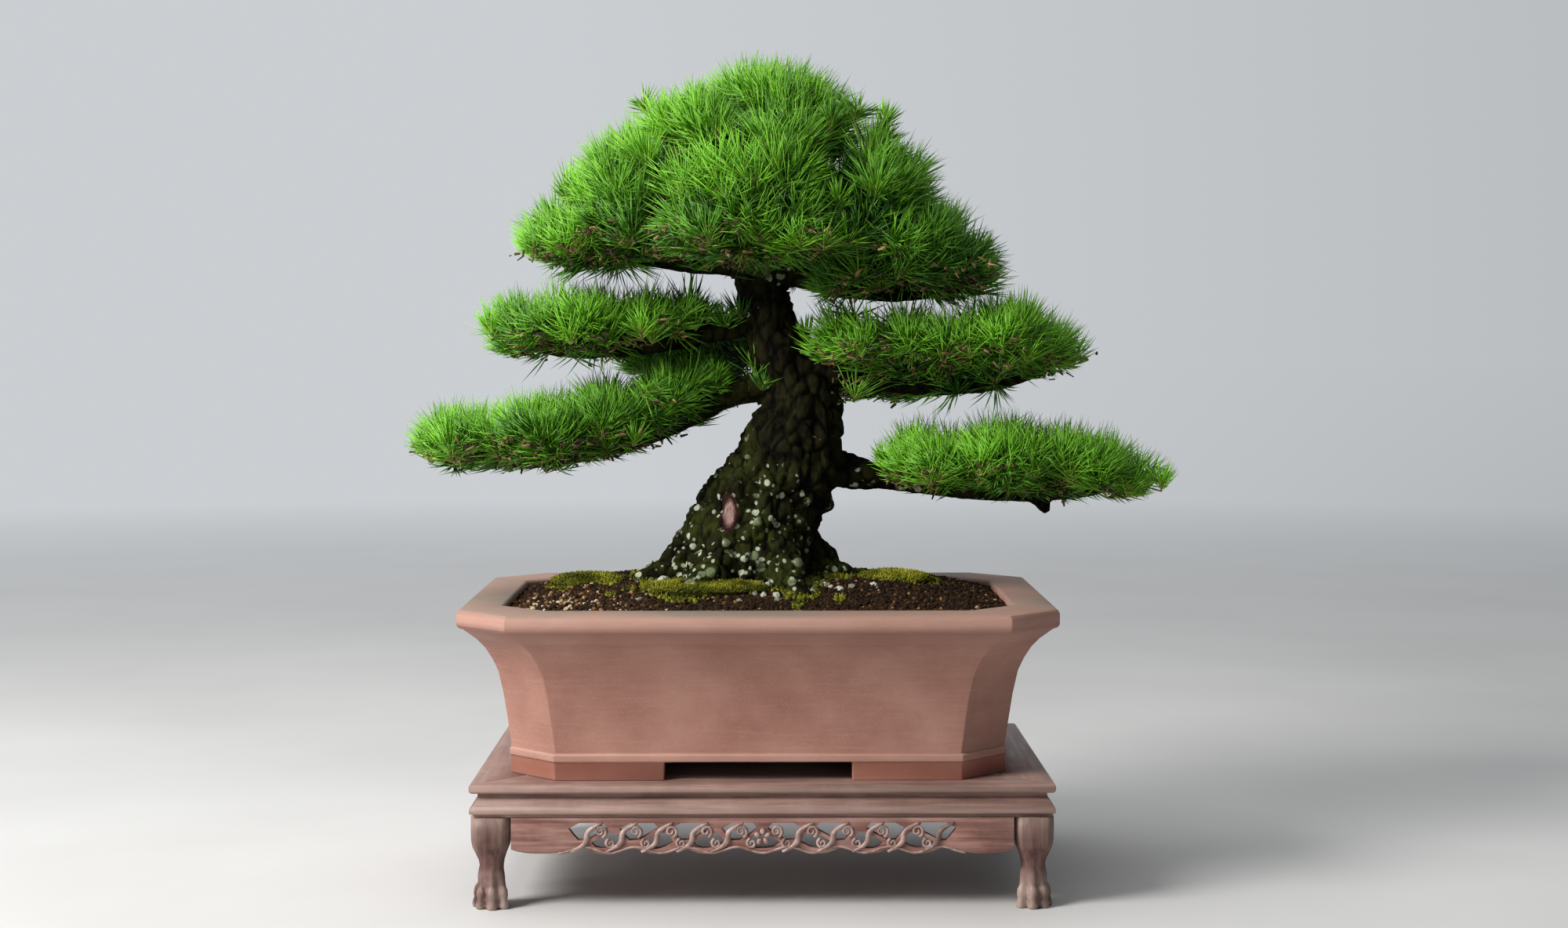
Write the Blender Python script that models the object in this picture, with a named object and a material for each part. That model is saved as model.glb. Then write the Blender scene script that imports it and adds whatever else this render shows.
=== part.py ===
"""A pine bonsai in a long octagonal clay pot, on a low carved wooden stand.

Metres, +Z up. The front faces -Y and the stand's feet are on Z = 0.
Every piece is one closed solid. Pieces that touch are GAP apart.
"""

import math

import bmesh
import bpy
import numpy as np
from mathutils import Matrix, Vector
from mathutils.geometry import tessellate_polygon

MM = 0.001
GAP = 0.3 * MM

# Stand
STAND_WIDTH = 483 * MM
STAND_DEPTH = 311 * MM
STAND_HEIGHT = 105 * MM
TOP_RAIL_WIDTH = 42 * MM
TOP_THICKNESS = 8 * MM
BATTEN_WIDTH = 25 * MM
BATTEN_THICKNESS = 9 * MM
BATTEN_X = 90 * MM
FRIEZE_DEPTH = 26 * MM
FRIEZE_BOTTOM = 76.9 * MM
APRON_TOP = FRIEZE_BOTTOM - GAP
APRON_THICKNESS = 8 * MM
APRON_INSET = 2.5 * MM
APRON_EDGE = 49.5 * MM
SCALLOP = 2.5 * MM
VINE_HEIGHT = 61 * MM
VINE_SWING = 6 * MM
VINE_THICKNESS = 4.5 * MM
VINE_SLANT = 0.5
VINE_HALF_WAVE = 21 * MM
CARVING_TOP = 72.5 * MM
CARVING_BORDER = 4 * MM
BRACKET_LOW = 50.5 * MM
BRACKET_STEPS = 6
BRACKET_CURVE = 3.2
LEG_WIDTH = 34 * MM
# Height, half width and distance of the leg's middle from the stand's outer faces
LEG_SECTIONS = [
    (80, 16.3, 16.9), (66, 16.4, 16.8), (58, 16.2, 16.8), (52, 15.2, 16.7), (46, 12.6, 16.8),
    (40, 10.4, 17.0), (34, 9.5, 17.0), (26, 9.5, 17.3), (18, 10.0, 17.8), (8, 10.8, 18.0),
    (-4, 10.8, 18.0),
]
LEG_VOXEL = 1.2 * MM
LEG_TRIANGLES = 1100
TOE_COUNT = 5
TOE_SPREAD = math.radians(45)
# Each toe is a stack of balls: reach from the foot's middle, height and radii
TOE_BALLS = [
    (9.0 * MM, 24 * MM, (4.1 * MM, 4.1 * MM, 13 * MM)),
    (11.8 * MM, 12 * MM, (4.8 * MM, 4.8 * MM, 8 * MM)),
    (13.4 * MM, 3 * MM, (4.4 * MM, 4.4 * MM, 6 * MM)),
]
FRONT_LEFT_TURN = math.radians(225)

# Pot
POT_X = -3.5 * MM
POT_BASE = STAND_HEIGHT + GAP
POT_HALF_LENGTH = 208 * MM
POT_HALF_DEPTH = 137 * MM
POT_CHAMFER = 40 * MM
CHAMFER_GROWTH = 0.1
# Height above the pot's foot, and growth outwards from the base outline
POT_OUTSIDE = [
    (15, 2.0), (20.5, 2.0), (22, 0.5), (46, 3.5), (67, 6.5), (87, 10.5), (98, 15), (108, 20.5),
    (116, 27), (121, 32.5), (125, 37), (126.5, 40.5), (129, 42), (138, 42), (141, 40.5), (142, 37.5),
]
POT_INSIDE = [
    (142, 8), (140.5, 6.3), (138, 6), (108, 6), (98, 1), (87, -4), (67, -7), (46, -9), (30, -11),
    (25, -14),
]
FOOT_HEIGHT = 15 * MM
FOOT_THICKNESS = 24 * MM
FOOT_PROUD = 1 * MM
FOOT_OVERLAP = 3 * MM
FOOT_FRONT_END = 78 * MM
FOOT_SIDE_END = 45 * MM
DRAIN_RADIUS = 12 * MM
DRAIN_X = 95 * MM
DRAIN_CUT = 30 * MM
SCREEN_SIZE = 40 * MM
SCREEN_THICKNESS = 1.2 * MM

# Soil and moss
SOIL_EDGE = 241 * MM
SOIL_RISE = 24 * MM
SOIL_MARGIN = 6 * MM
SOIL_RIPPLE = 1.2 * MM
RIPPLE_TURNS = (60, 75)
SOIL_RINGS = (0.94, 0.84, 0.7, 0.54, 0.36, 0.18)
SOIL_POINTS = 40
MOSS_SUNK = 1 * MM
# Middle, radii and thickness of each patch
MOSS = {
    "moss_left": ((-152, -12), (34, 24), 6),
    "moss_centre": ((-48, -78), (58, 26), 6),
    "moss_right": ((112, -20), (36, 28), 7),
}

# Wood: each route is a list of (x, y, z, radius) in millimetres
WOOD_VOXEL = 2.6 * MM
WOOD_TRIANGLES = 3000
CLEARANCE = 0.9 * MM
TRUNK = [
    (-14, 0, 232, 70), (-13, 0, 268, 70), (-10, 0, 292, 63), (0, 0, 321, 53), (22, 0, 355, 47),
    (30, 0, 385, 43), (34, 0, 417, 34), (16, 0, 459, 27), (5, 0, 493, 23), (-6, 0, 528, 18),
    (-4, 0, 575, 14), (4, 0, 625, 10), (8, 0, 672, 6),
]
ROOTS = [
    [(-50, -15, 285, 26), (-84, -20, 266, 15), (-112, -26, 258, 8), (-128, -30, 250, 5)],
    [(-30, -40, 280, 26), (-52, -72, 262, 15), (-68, -92, 252, 9), (-74, -100, 246, 5)],
    [(14, -42, 278, 24), (24, -74, 260, 14), (36, -94, 250, 8), (40, -102, 244, 5)],
    [(36, -10, 280, 24), (66, -14, 264, 14), (90, -20, 256, 8), (102, -24, 248, 5)],
    [(-20, 44, 280, 26), (-36, 76, 262, 14), (-44, 96, 252, 8), (-46, 104, 244, 5)],
    [(22, 42, 278, 24), (44, 68, 262, 13), (60, 84, 252, 8), (64, 92, 244, 5)],
]
BRANCHES = {
    "left_lower": [
        (20, 0, 432, 17), (-10, 0, 428, 13), (-50, -4, 410, 10), (-87, -6, 391, 9), (-125, -8, 379, 8),
        (-174, -8, 367, 7), (-214, -8, 362, 5.5), (-258, -6, 372, 4),
    ],
    "left_middle": [
        (8, 0, 486, 15), (-30, -2, 480, 11), (-70, -4, 470, 9), (-120, -8, 462, 7.5),
        (-176, -10, 460, 6), (-222, -8, 470, 4),
    ],
    "right_lower": [
        (30, 0, 352, 28), (72, -2, 354, 17), (112, -6, 347, 10), (150, -8, 340, 8), (190, -8, 336, 7),
        (240, -8, 333, 6), (290, -6, 337, 5), (326, -4, 343, 3.5),
    ],
    "right_middle": [
        (22, 0, 456, 20), (52, -6, 446, 14), (92, -10, 436, 11), (140, -12, 430, 9),
        (190, -12, 430, 7), (236, -10, 440, 5.5), (262, -8, 452, 4),
    ],
    "back_left": [(10, 10, 470, 15), (-10, 45, 458, 10), (-34, 82, 446, 7), (-60, 112, 444, 4)],
    "back_right": [(24, 10, 436, 15), (50, 48, 430, 10), (84, 88, 426, 7), (116, 112, 430, 4)],
    "crown_left": [
        (-5, 0, 538, 15), (-45, 0, 536, 10), (-95, -4, 541, 8), (-145, -6, 546, 6), (-185, -4, 556, 4),
    ],
    "crown_right": [
        (-4, 0, 533, 15), (35, -4, 524, 10), (80, -6, 513, 8), (130, -8, 510, 7), (178, -6, 518, 5),
        (206, -4, 530, 3.5),
    ],
    "crown_front": [(-5, -6, 562, 12), (-10, -45, 562, 8), (-18, -90, 568, 6), (-20, -118, 576, 4)],
    "crown_back": [(-4, 6, 566, 12), (0, 48, 568, 8), (8, 92, 576, 6), (10, 116, 588, 4)],
    "crown_top": [(2, 0, 606, 10), (-28, -10, 628, 6), (-50, -14, 650, 4)],
}
STUB = [(240, -8, 334, 7), (246, -12, 325, 6), (252, -14, 320, 4.5)]
TWIG_START = 0.36
TWIG_STEP = 0.16
TWIG_END = 0.97
TWIG_LEAN = 0.55
TWIG_RADII = (3.8, 3.0)
TWIG_RISE = 14
TWIG_SHARE = 0.52

# Foliage: each clump is (x, y, z, half length, half depth, half height) in millimetres
PADS = {
    "left_lower": [
        (-255, -4, 388, 58, 64, 33), (-192, -10, 392, 62, 80, 38), (-132, 2, 406, 62, 74, 40),
        (-78, 4, 424, 50, 58, 34), (-44, 14, 436, 36, 44, 24),
    ],
    "left_middle": [
        (-206, -8, 484, 46, 58, 30), (-152, -8, 488, 58, 70, 35), (-102, -2, 490, 46, 56, 32),
        (-66, 2, 493, 36, 48, 23),
    ],
    "right_lower": [
        (148, -8, 370, 52, 68, 36), (214, -8, 371, 62, 80, 40), (274, -2, 368, 58, 70, 37),
        (322, 0, 353, 42, 46, 22),
    ],
    "right_middle": [
        (80, -16, 473, 54, 66, 26), (142, -12, 476, 60, 78, 35), (202, -8, 478, 58, 78, 42),
        (246, 0, 470, 46, 58, 31), (118, 14, 442, 66, 60, 26),
    ],
    "back_left": [(-62, 112, 460, 62, 44, 38), (-104, 98, 464, 40, 36, 26)],
    "back_right": [(112, 118, 446, 60, 40, 30), (66, 112, 438, 42, 34, 26)],
    "crown_top": [
        (10, 0, 678, 72, 76, 45), (-44, -10, 656, 74, 80, 43), (48, 4, 656, 60, 80, 42),
    ],
    "crown_left": [
        (-108, -8, 606, 74, 98, 54), (-166, -8, 564, 54, 80, 32), (-114, -6, 570, 80, 108, 40),
        (-90, 4, 634, 64, 84, 46),
    ],
    "crown_right": [
        (90, -8, 606, 70, 98, 56), (120, -4, 564, 70, 104, 52), (162, -8, 537, 54, 82, 37),
        (82, 0, 638, 50, 80, 46), (74, -26, 530, 44, 62, 26),
    ],
    "crown_front": [
        (-12, -66, 604, 104, 66, 60), (-16, -80, 568, 110, 60, 36), (14, -56, 640, 74, 54, 42),
    ],
    "crown_back": [(4, 78, 604, 108, 66, 62), (10, 88, 566, 104, 60, 38)],
}
PAD_VOXEL = 7 * MM
PAD_TRIANGLES = 240
PAD_GAP = 0.6 * MM
# A pad makes room for the pads named before it
PAD_ORDER = (
    "crown_top", "crown_left", "crown_right", "crown_front", "crown_back", "right_middle",
    "left_middle", "right_lower", "left_lower", "back_left", "back_right",
)


def clear_scene():
    for thing in list(bpy.data.objects):
        bpy.data.objects.remove(thing)


def material(name, colour, roughness):
    made = bpy.data.materials.new(name)
    made.use_nodes = True
    shader = made.node_tree.nodes["Principled BSDF"]
    shader.inputs["Base Color"].default_value = (*colour, 1)
    shader.inputs["Roughness"].default_value = roughness
    shader.inputs["Metallic"].default_value = 0
    made.diffuse_color = (*colour, 1)
    return made


def make_materials():
    return {
        "clay": material("unglazed_clay", (0.34, 0.165, 0.12), 0.72),
        "bark": material("bark", (0.045, 0.038, 0.028), 0.9),
        "needles": material("pine_needles", (0.1, 0.28, 0.035), 0.55),
        "soil": material("soil", (0.06, 0.032, 0.014), 0.95),
        "moss": material("moss", (0.16, 0.17, 0.02), 0.95),
        "wood": material("stand_wood", (0.2, 0.12, 0.1), 0.55),
        "screen": material("screen_plastic", (0.02, 0.02, 0.02), 0.6),
    }


def add(name, mesh, finish, smooth=False):
    made = bpy.data.objects.new(name, mesh)
    bpy.context.collection.objects.link(made)
    mesh.materials.clear()
    mesh.materials.append(finish)
    for face in mesh.polygons:
        face.use_smooth = smooth
    return made


def mesh_of(name, points, faces):
    """A mesh in triangles, so that every cut sees the same surface."""
    mesh = bpy.data.meshes.new(name)
    mesh.from_pydata([tuple(p) for p in points], [], faces)
    shape = bmesh.new()
    shape.from_mesh(mesh)
    bmesh.ops.recalc_face_normals(shape, faces=shape.faces)
    bmesh.ops.triangulate(shape, faces=shape.faces)
    shape.to_mesh(mesh)
    shape.free()
    return mesh


def evaluated_mesh(thing):
    """The object's mesh with its modifiers applied, in world coordinates."""
    bpy.context.view_layer.update()
    graph = bpy.context.evaluated_depsgraph_get()
    mesh = bpy.data.meshes.new_from_object(thing.evaluated_get(graph))
    mesh.transform(thing.matrix_world)
    return mesh


def helper(name, mesh):
    """A hidden object that only cuts or joins others."""
    made = bpy.data.objects.new(name, mesh)
    bpy.context.collection.objects.link(made)
    made.hide_render = True
    made.display_type = "WIRE"
    return made


def boolean(thing, operation, other):
    step = thing.modifiers.new(operation.lower(), "BOOLEAN")
    step.operation = operation
    step.solver = "EXACT"
    step.use_self = True
    step.object = other


def remeshed(name, mesh, voxel, triangles, smoothing=2):
    """One watertight skin round the shapes in the mesh, thinned to that many triangles."""
    shape = helper(name, mesh)
    skin = shape.modifiers.new("skin", "REMESH")
    skin.mode = "VOXEL"
    skin.voxel_size = voxel
    soften = shape.modifiers.new("soften", "SMOOTH")
    soften.iterations = smoothing
    whole = evaluated_mesh(shape)
    whole.calc_loop_triangles()
    thin = shape.modifiers.new("thin", "DECIMATE")
    thin.ratio = min(1.0, triangles / len(whole.loop_triangles))
    result = evaluated_mesh(shape)
    bpy.data.objects.remove(shape)
    return largest_body(result)


def largest_body(mesh):
    """Drops the crumbs that a remesh or a cut leaves beside the main body, and triangulates the rest."""
    shape = bmesh.new()
    shape.from_mesh(mesh)
    left = set(shape.verts)
    bodies = []
    while left:
        queue = [left.pop()]
        body = set(queue)
        while queue:
            for edge in queue.pop().link_edges:
                for vert in edge.verts:
                    if vert in left:
                        left.discard(vert)
                        body.add(vert)
                        queue.append(vert)
        bodies.append(body)
    bodies.sort(key=len)
    for body in bodies[:-1]:
        bmesh.ops.delete(shape, geom=list(body), context="VERTS")
    bmesh.ops.triangulate(shape, faces=shape.faces)
    shape.to_mesh(mesh)
    shape.free()
    return mesh


def inflated(name, mesh, by):
    """A hidden copy of the mesh, grown along its normals."""
    made = helper(name, mesh.copy())
    grow = made.modifiers.new("grow", "DISPLACE")
    grow.mid_level = 0
    grow.strength = by
    return made


def box_mesh(name, low, high):
    points = [(x, y, z) for x in (low[0], high[0]) for y in (low[1], high[1]) for z in (low[2], high[2])]
    faces = [(0, 1, 3, 2), (4, 6, 7, 5), (0, 4, 5, 1), (2, 3, 7, 6), (0, 2, 6, 4), (1, 5, 7, 3)]
    return mesh_of(name, points, faces)


def loft(name, rings):
    """Skins a stack of rings with the same number of points, and caps both ends."""
    count = len(rings[0])
    points = [p for ring in rings for p in ring]
    faces = []
    for r in range(len(rings) - 1):
        for i in range(count):
            j = (i + 1) % count
            faces.append((r * count + i, r * count + j, (r + 1) * count + j, (r + 1) * count + i))
    faces.append(tuple(range(count)))
    faces.append(tuple(range(len(points) - count, len(points))))
    return mesh_of(name, points, faces)


# ---------------------------------------------------------------- stand


def side_frame(side):
    """Outward and sideways directions of a side, and how far each reaches."""
    half_x = STAND_WIDTH / 2
    half_y = STAND_DEPTH / 2
    frames = {
        "front": (Vector((0, -1, 0)), Vector((1, 0, 0)), half_y, half_x),
        "back": (Vector((0, 1, 0)), Vector((-1, 0, 0)), half_y, half_x),
        "left": (Vector((-1, 0, 0)), Vector((0, -1, 0)), half_x, half_y),
        "right": (Vector((1, 0, 0)), Vector((0, 1, 0)), half_x, half_y),
    }
    return frames[side]


def mitred_rail(name, side, profile, finish):
    """A rail along one side, mitred at both corners. The profile is (inset, height) in millimetres."""
    outward, along, reach, half = side_frame(side)
    shrink = GAP * 0.75
    ends = []
    for sign in (-1, 1):
        ring = []
        for inset, height in profile:
            middle = outward * (reach - inset * MM)
            ring.append(middle + along * sign * (half - inset * MM - shrink) + Vector((0, 0, height * MM)))
        ends.append(ring)
    return add(name, loft(name, ends), finish)


def top_rail_profile():
    inner = TOP_RAIL_WIDTH / MM
    top = STAND_HEIGHT / MM
    bottom = top - TOP_THICKNESS / MM
    return [
        (inner, bottom), (2, bottom), (0.5, bottom + 1), (0, bottom + 2.5), (0, top - 2.5),
        (0.6, top - 0.8), (2, top), (inner, top),
    ]


def frieze_profile():
    """The recessed waist, the moulding under it and the groove below that."""
    inner = FRIEZE_DEPTH / MM
    low = FRIEZE_BOTTOM / MM
    high = (STAND_HEIGHT - TOP_THICKNESS - GAP) / MM
    return [
        (inner, low), (3.5, low), (3.5, low + 2.6), (0.6, low + 3), (0, low + 4.6), (0.4, low + 7.6),
        (1.8, low + 10), (3.6, low + 12), (4.6, low + 14.4), (6.5, low + 16.2), (6.5, high), (inner, high),
    ]


def stand_top(finish):
    for side in ("front", "back", "left", "right"):
        mitred_rail(f"stand_top_rail_{side}", side, top_rail_profile(), finish)
        mitred_rail(f"stand_moulding_{side}", side, frieze_profile(), finish)
    x = STAND_WIDTH / 2 - TOP_RAIL_WIDTH - GAP
    y = STAND_DEPTH / 2 - TOP_RAIL_WIDTH - GAP
    under = STAND_HEIGHT - TOP_THICKNESS
    panel = box_mesh("panel", (-x, -y, under), (x, y, STAND_HEIGHT))
    add("stand_top_panel", panel, finish)
    reach = STAND_DEPTH / 2 - FRIEZE_DEPTH - GAP
    for name, sign in (("left", -1), ("right", 1)):
        low = (sign * BATTEN_X - BATTEN_WIDTH / 2, -reach, under - GAP - BATTEN_THICKNESS)
        high = (sign * BATTEN_X + BATTEN_WIDTH / 2, reach, under - GAP)
        add(f"stand_batten_{name}", box_mesh("batten", low, high), finish)


def vine(u):
    """Height of the carved vine's middle line at a distance u from the apron's middle."""
    return VINE_HEIGHT + VINE_SWING * math.cos(math.pi * u / VINE_HALF_WAVE)


def lower_edge(u):
    """Height of the scalloped edge under the carving."""
    return APRON_EDGE - SCALLOP * math.cos(math.pi * u / VINE_HALF_WAVE)


def slanted(u, z):
    """Leans the carving outwards, the same way on both halves."""
    lean = VINE_SLANT * (z - VINE_HEIGHT) * max(-1, min(1, u / VINE_HALF_WAVE))
    return (u - lean, z)


def opening(middle, upper):
    """The outline of one opening between the vine and the carving's border."""
    reach = (0.78 if upper else 0.62) * VINE_HALF_WAVE
    steps = [middle + reach * s for s in (-1, -0.6, -0.2, 0.2, 0.6, 1)]
    half = VINE_THICKNESS / 2
    if upper:
        edge = [slanted(u, vine(u) + half) for u in steps]
        border = [slanted(u, CARVING_TOP) for u in (steps[4], steps[1])]
    else:
        edge = [slanted(u, vine(u) - half) for u in steps]
        border = [slanted(u, lower_edge(u) + CARVING_BORDER) for u in reversed(steps[1:5])]
    return edge + border


def bracket(half, carved):
    """The plain end of the lower edge, out to the leg on the right."""
    start, height = slanted(carved, lower_edge(carved))
    line = []
    for i in range(1, BRACKET_STEPS + 1):
        share = i / BRACKET_STEPS
        drop = (height - BRACKET_LOW) * share**BRACKET_CURVE
        line.append((start + (half - start) * share, height - drop))
    return line


def apron_outline(half, carved):
    """Closed outline: straight at the top, scalloped under the carving, plain at the ends."""
    steps = int(round(carved / VINE_HALF_WAVE * 4))
    end = bracket(half, carved)
    low = [(-u, z) for u, z in reversed(end)]
    for i in range(-steps, steps + 1):
        u = i * VINE_HALF_WAVE / 4
        low.append(slanted(u, lower_edge(u)))
    return low + end + [(half, APRON_TOP), (-half, APRON_TOP)]


def pierced_plate(name, outlines, place, thickness):
    """Extrudes an outline with holes. place turns (u, z, depth) into a point."""
    flat = [[Vector((u, z, 0)) for u, z in line] for line in outlines]
    triangles = tessellate_polygon(flat)
    edge = [p for line in flat for p in line]
    count = len(edge)
    points = [place(p.x, p.y, 0) for p in edge] + [place(p.x, p.y, thickness) for p in edge]
    faces = [tuple(t) for t in triangles]
    faces += [tuple(i + count for i in reversed(t)) for t in triangles]
    start = 0
    for line in flat:
        for i in range(len(line)):
            a = start + i
            b = start + (i + 1) % len(line)
            faces.append((a, b, b + count, a + count))
        start += len(line)
    return mesh_of(name, points, faces)


def apron(side, openings, finish):
    outward, along, reach, half = side_frame(side)
    half -= LEG_WIDTH + GAP
    carved = (openings + 1) / 2 * VINE_HALF_WAVE

    def place(u, z, depth):
        return outward * (reach - APRON_INSET - depth) + along * u + Vector((0, 0, z))

    outlines = [apron_outline(half, carved)]
    for i in range(openings):
        number = i - openings // 2
        outlines.append(opening(number * VINE_HALF_WAVE, upper=number % 2 == 1))
    name = f"stand_apron_{side}"
    return add(name, pierced_plate(name, outlines, place, APRON_THICKNESS), finish)


def leg_section(height, half, inset):
    """A square section with soft corners, in millimetres, for the front left leg."""
    ring = []
    for i in range(16):
        turn = 2 * math.pi * (i + 0.5) / 16
        c, s = math.cos(turn), math.sin(turn)
        size = half / (abs(c) ** 5 + abs(s) ** 5) ** 0.2
        x = -STAND_WIDTH / 2 + (inset + c * size) * MM
        y = -STAND_DEPTH / 2 + (inset + s * size) * MM
        ring.append((x, y, height * MM))
    return ring


def leg_mesh():
    """One leg with a clawed paw, at the front left corner."""
    shape = bmesh.new()
    shape.from_mesh(loft("leg", [leg_section(*row) for row in LEG_SECTIONS]))
    foot = LEG_SECTIONS[-1][2] * MM
    middle = Vector((-STAND_WIDTH / 2 + foot, -STAND_DEPTH / 2 + foot, 0))
    for i in range(TOE_COUNT):
        turn = FRONT_LEFT_TURN + (i - (TOE_COUNT - 1) / 2) * TOE_SPREAD
        outwards = Vector((math.cos(turn), math.sin(turn), 0))
        for reach, height, radii in TOE_BALLS:
            place = Matrix.Translation(middle + outwards * reach + Vector((0, 0, height)))
            size = Matrix.Diagonal((*radii, 1))
            bmesh.ops.create_icosphere(shape, subdivisions=3, radius=1, matrix=place @ size)
    mesh = bpy.data.meshes.new("leg")
    shape.to_mesh(mesh)
    shape.free()
    body = helper("leg_body", remeshed("leg_skin", mesh, LEG_VOXEL, LEG_TRIANGLES, 1))
    reach = 60 * MM
    corner = Vector((-STAND_WIDTH / 2, -STAND_DEPTH / 2, 0))
    low = corner - Vector((reach, reach, 0))
    high = corner + Vector((reach, reach, APRON_TOP))
    trim = helper("leg_trim", box_mesh("trim", low, high))
    boolean(body, "INTERSECT", trim)
    result = evaluated_mesh(body)
    bpy.data.objects.remove(body)
    bpy.data.objects.remove(trim)
    return result


def stand_legs(finish):
    pattern = leg_mesh()
    corners = {"front_left": (1, 1), "front_right": (-1, 1), "back_left": (1, -1), "back_right": (-1, -1)}
    for name, (sx, sy) in corners.items():
        mesh = pattern.copy()
        mesh.transform(Matrix.Diagonal((sx, sy, 1, 1)))
        if sx * sy < 0:
            mesh.flip_normals()
        add(f"stand_leg_{name}", mesh, finish, smooth=True)


def stand(finish):
    stand_top(finish)
    for side, openings in (("front", 15), ("back", 15), ("left", 7), ("right", 7)):
        apron(side, openings, finish)
    stand_legs(finish)


# ---------------------------------------------------------------- pot


def octagon(half_x, half_y, chamfer):
    return [
        (half_x, -half_y + chamfer), (half_x, half_y - chamfer), (half_x - chamfer, half_y),
        (-half_x + chamfer, half_y), (-half_x, half_y - chamfer), (-half_x, -half_y + chamfer),
        (-half_x + chamfer, -half_y), (half_x - chamfer, -half_y),
    ]


def pot_ring(height, growth, inset=0.0):
    """The pot's outline at a height, in millimetres, grown outwards and then inset evenly."""
    grow = growth * MM - inset
    chamfer = POT_CHAMFER + CHAMFER_GROWTH * growth * MM - inset * (2 - math.sqrt(2))
    outline = octagon(POT_HALF_LENGTH + grow, POT_HALF_DEPTH + grow, chamfer)
    return [(POT_X + x, y, POT_BASE + height * MM) for x, y in outline]


def foot_mesh(sx, sy):
    """One corner foot, which follows the chamfered corner."""
    outer_x = POT_HALF_LENGTH + FOOT_PROUD
    outer_y = POT_HALF_DEPTH + FOOT_PROUD
    outer_c = POT_CHAMFER
    inner_x = outer_x - FOOT_THICKNESS
    inner_y = outer_y - FOOT_THICKNESS
    inner_c = outer_c - FOOT_THICKNESS * (2 - math.sqrt(2))
    outline = [
        (FOOT_FRONT_END, outer_y), (outer_x - outer_c, outer_y), (outer_x, outer_y - outer_c),
        (outer_x, FOOT_SIDE_END), (inner_x, FOOT_SIDE_END), (inner_x, inner_y - inner_c),
        (inner_x - inner_c, inner_y), (FOOT_FRONT_END, inner_y),
    ]
    rings = []
    for height in (0, FOOT_HEIGHT + FOOT_OVERLAP):
        rings.append([(POT_X + sx * x, sy * y, POT_BASE + height) for x, y in outline])
    return loft("foot", rings)


def drain_mesh(sign):
    """A cylinder through the pot's floor."""
    shape = bmesh.new()
    middle = POT_BASE + (FOOT_HEIGHT + POT_INSIDE[-1][0] * MM) / 2
    place = Matrix.Translation((POT_X + sign * DRAIN_X, 0, middle))
    bmesh.ops.create_cone(
        shape, cap_ends=True, segments=24, radius1=DRAIN_RADIUS, radius2=DRAIN_RADIUS,
        depth=DRAIN_CUT, matrix=place,
    )
    mesh = bpy.data.meshes.new("drain")
    shape.to_mesh(mesh)
    shape.free()
    return mesh


def pot(finish):
    rings = [pot_ring(*row) for row in POT_OUTSIDE + POT_INSIDE]
    body = add("pot", loft("pot", rings), finish)
    for sx in (-1, 1):
        for sy in (-1, 1):
            boolean(body, "UNION", helper(f"foot_{sx}_{sy}", foot_mesh(sx, sy)))
    for sign in (-1, 1):
        boolean(body, "DIFFERENCE", helper(f"drain_{sign}", drain_mesh(sign)))


def screen_box(sign, grow):
    floor = POT_BASE + POT_INSIDE[-1][0] * MM + GAP
    half = SCREEN_SIZE / 2 + grow
    middle = POT_X + sign * DRAIN_X
    low = (middle - half, -half, floor - 2 * grow)
    high = (middle + half, half, floor + SCREEN_THICKNESS + grow)
    return low, high


def drain_screens(finish):
    for name, sign in (("left", -1), ("right", 1)):
        add(f"drain_screen_{name}", box_mesh("screen", *screen_box(sign, 0)), finish)


# ---------------------------------------------------------------- soil and moss


def soil_height(x, y):
    """A wide mound, highest round the trunk and level with the rim at the edge."""
    wide = 1 - min(1, abs(x - POT_X) / (POT_HALF_LENGTH + SOIL_MARGIN)) ** 3.5
    deep = 1 - min(1, abs(y) / (POT_HALF_DEPTH + SOIL_MARGIN)) ** 2.5
    ripple = SOIL_RIPPLE * math.sin(x * RIPPLE_TURNS[0] + 1.3) * math.sin(y * RIPPLE_TURNS[1] + 0.4)
    return SOIL_EDGE + SOIL_RISE * wide * deep + ripple * deep


def soil_walls():
    """Points and faces of the soil's bottom and sides, which follow the pot's inside."""
    rings = [pot_ring(*row, inset=GAP * 1.5) for row in reversed(POT_INSIDE[3:])]
    rings = [[(x, y, z + GAP) for x, y, z in ring] for ring in rings]
    rings.append([(x, y, SOIL_EDGE) for x, y, _ in rings[-1]])
    count = len(rings[0])
    points = [p for ring in rings for p in ring]
    faces = [tuple(range(count))]
    for r in range(len(rings) - 1):
        for i in range(count):
            j = (i + 1) % count
            faces.append((r * count + i, r * count + j, (r + 1) * count + j, (r + 1) * count + i))
    return points, faces, count


def soil_ring(outline, share):
    """An inner ring: the outline drawn in to a share of its size, with points at even steps."""
    each = SOIL_POINTS // len(outline)
    ring = []
    for i, corner in enumerate(outline):
        following = outline[(i + 1) % len(outline)]
        for k in range(each):
            p = corner.lerp(following, k / each) * share
            ring.append((p.x, p.y, soil_height(p.x, p.y)))
    return ring


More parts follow.
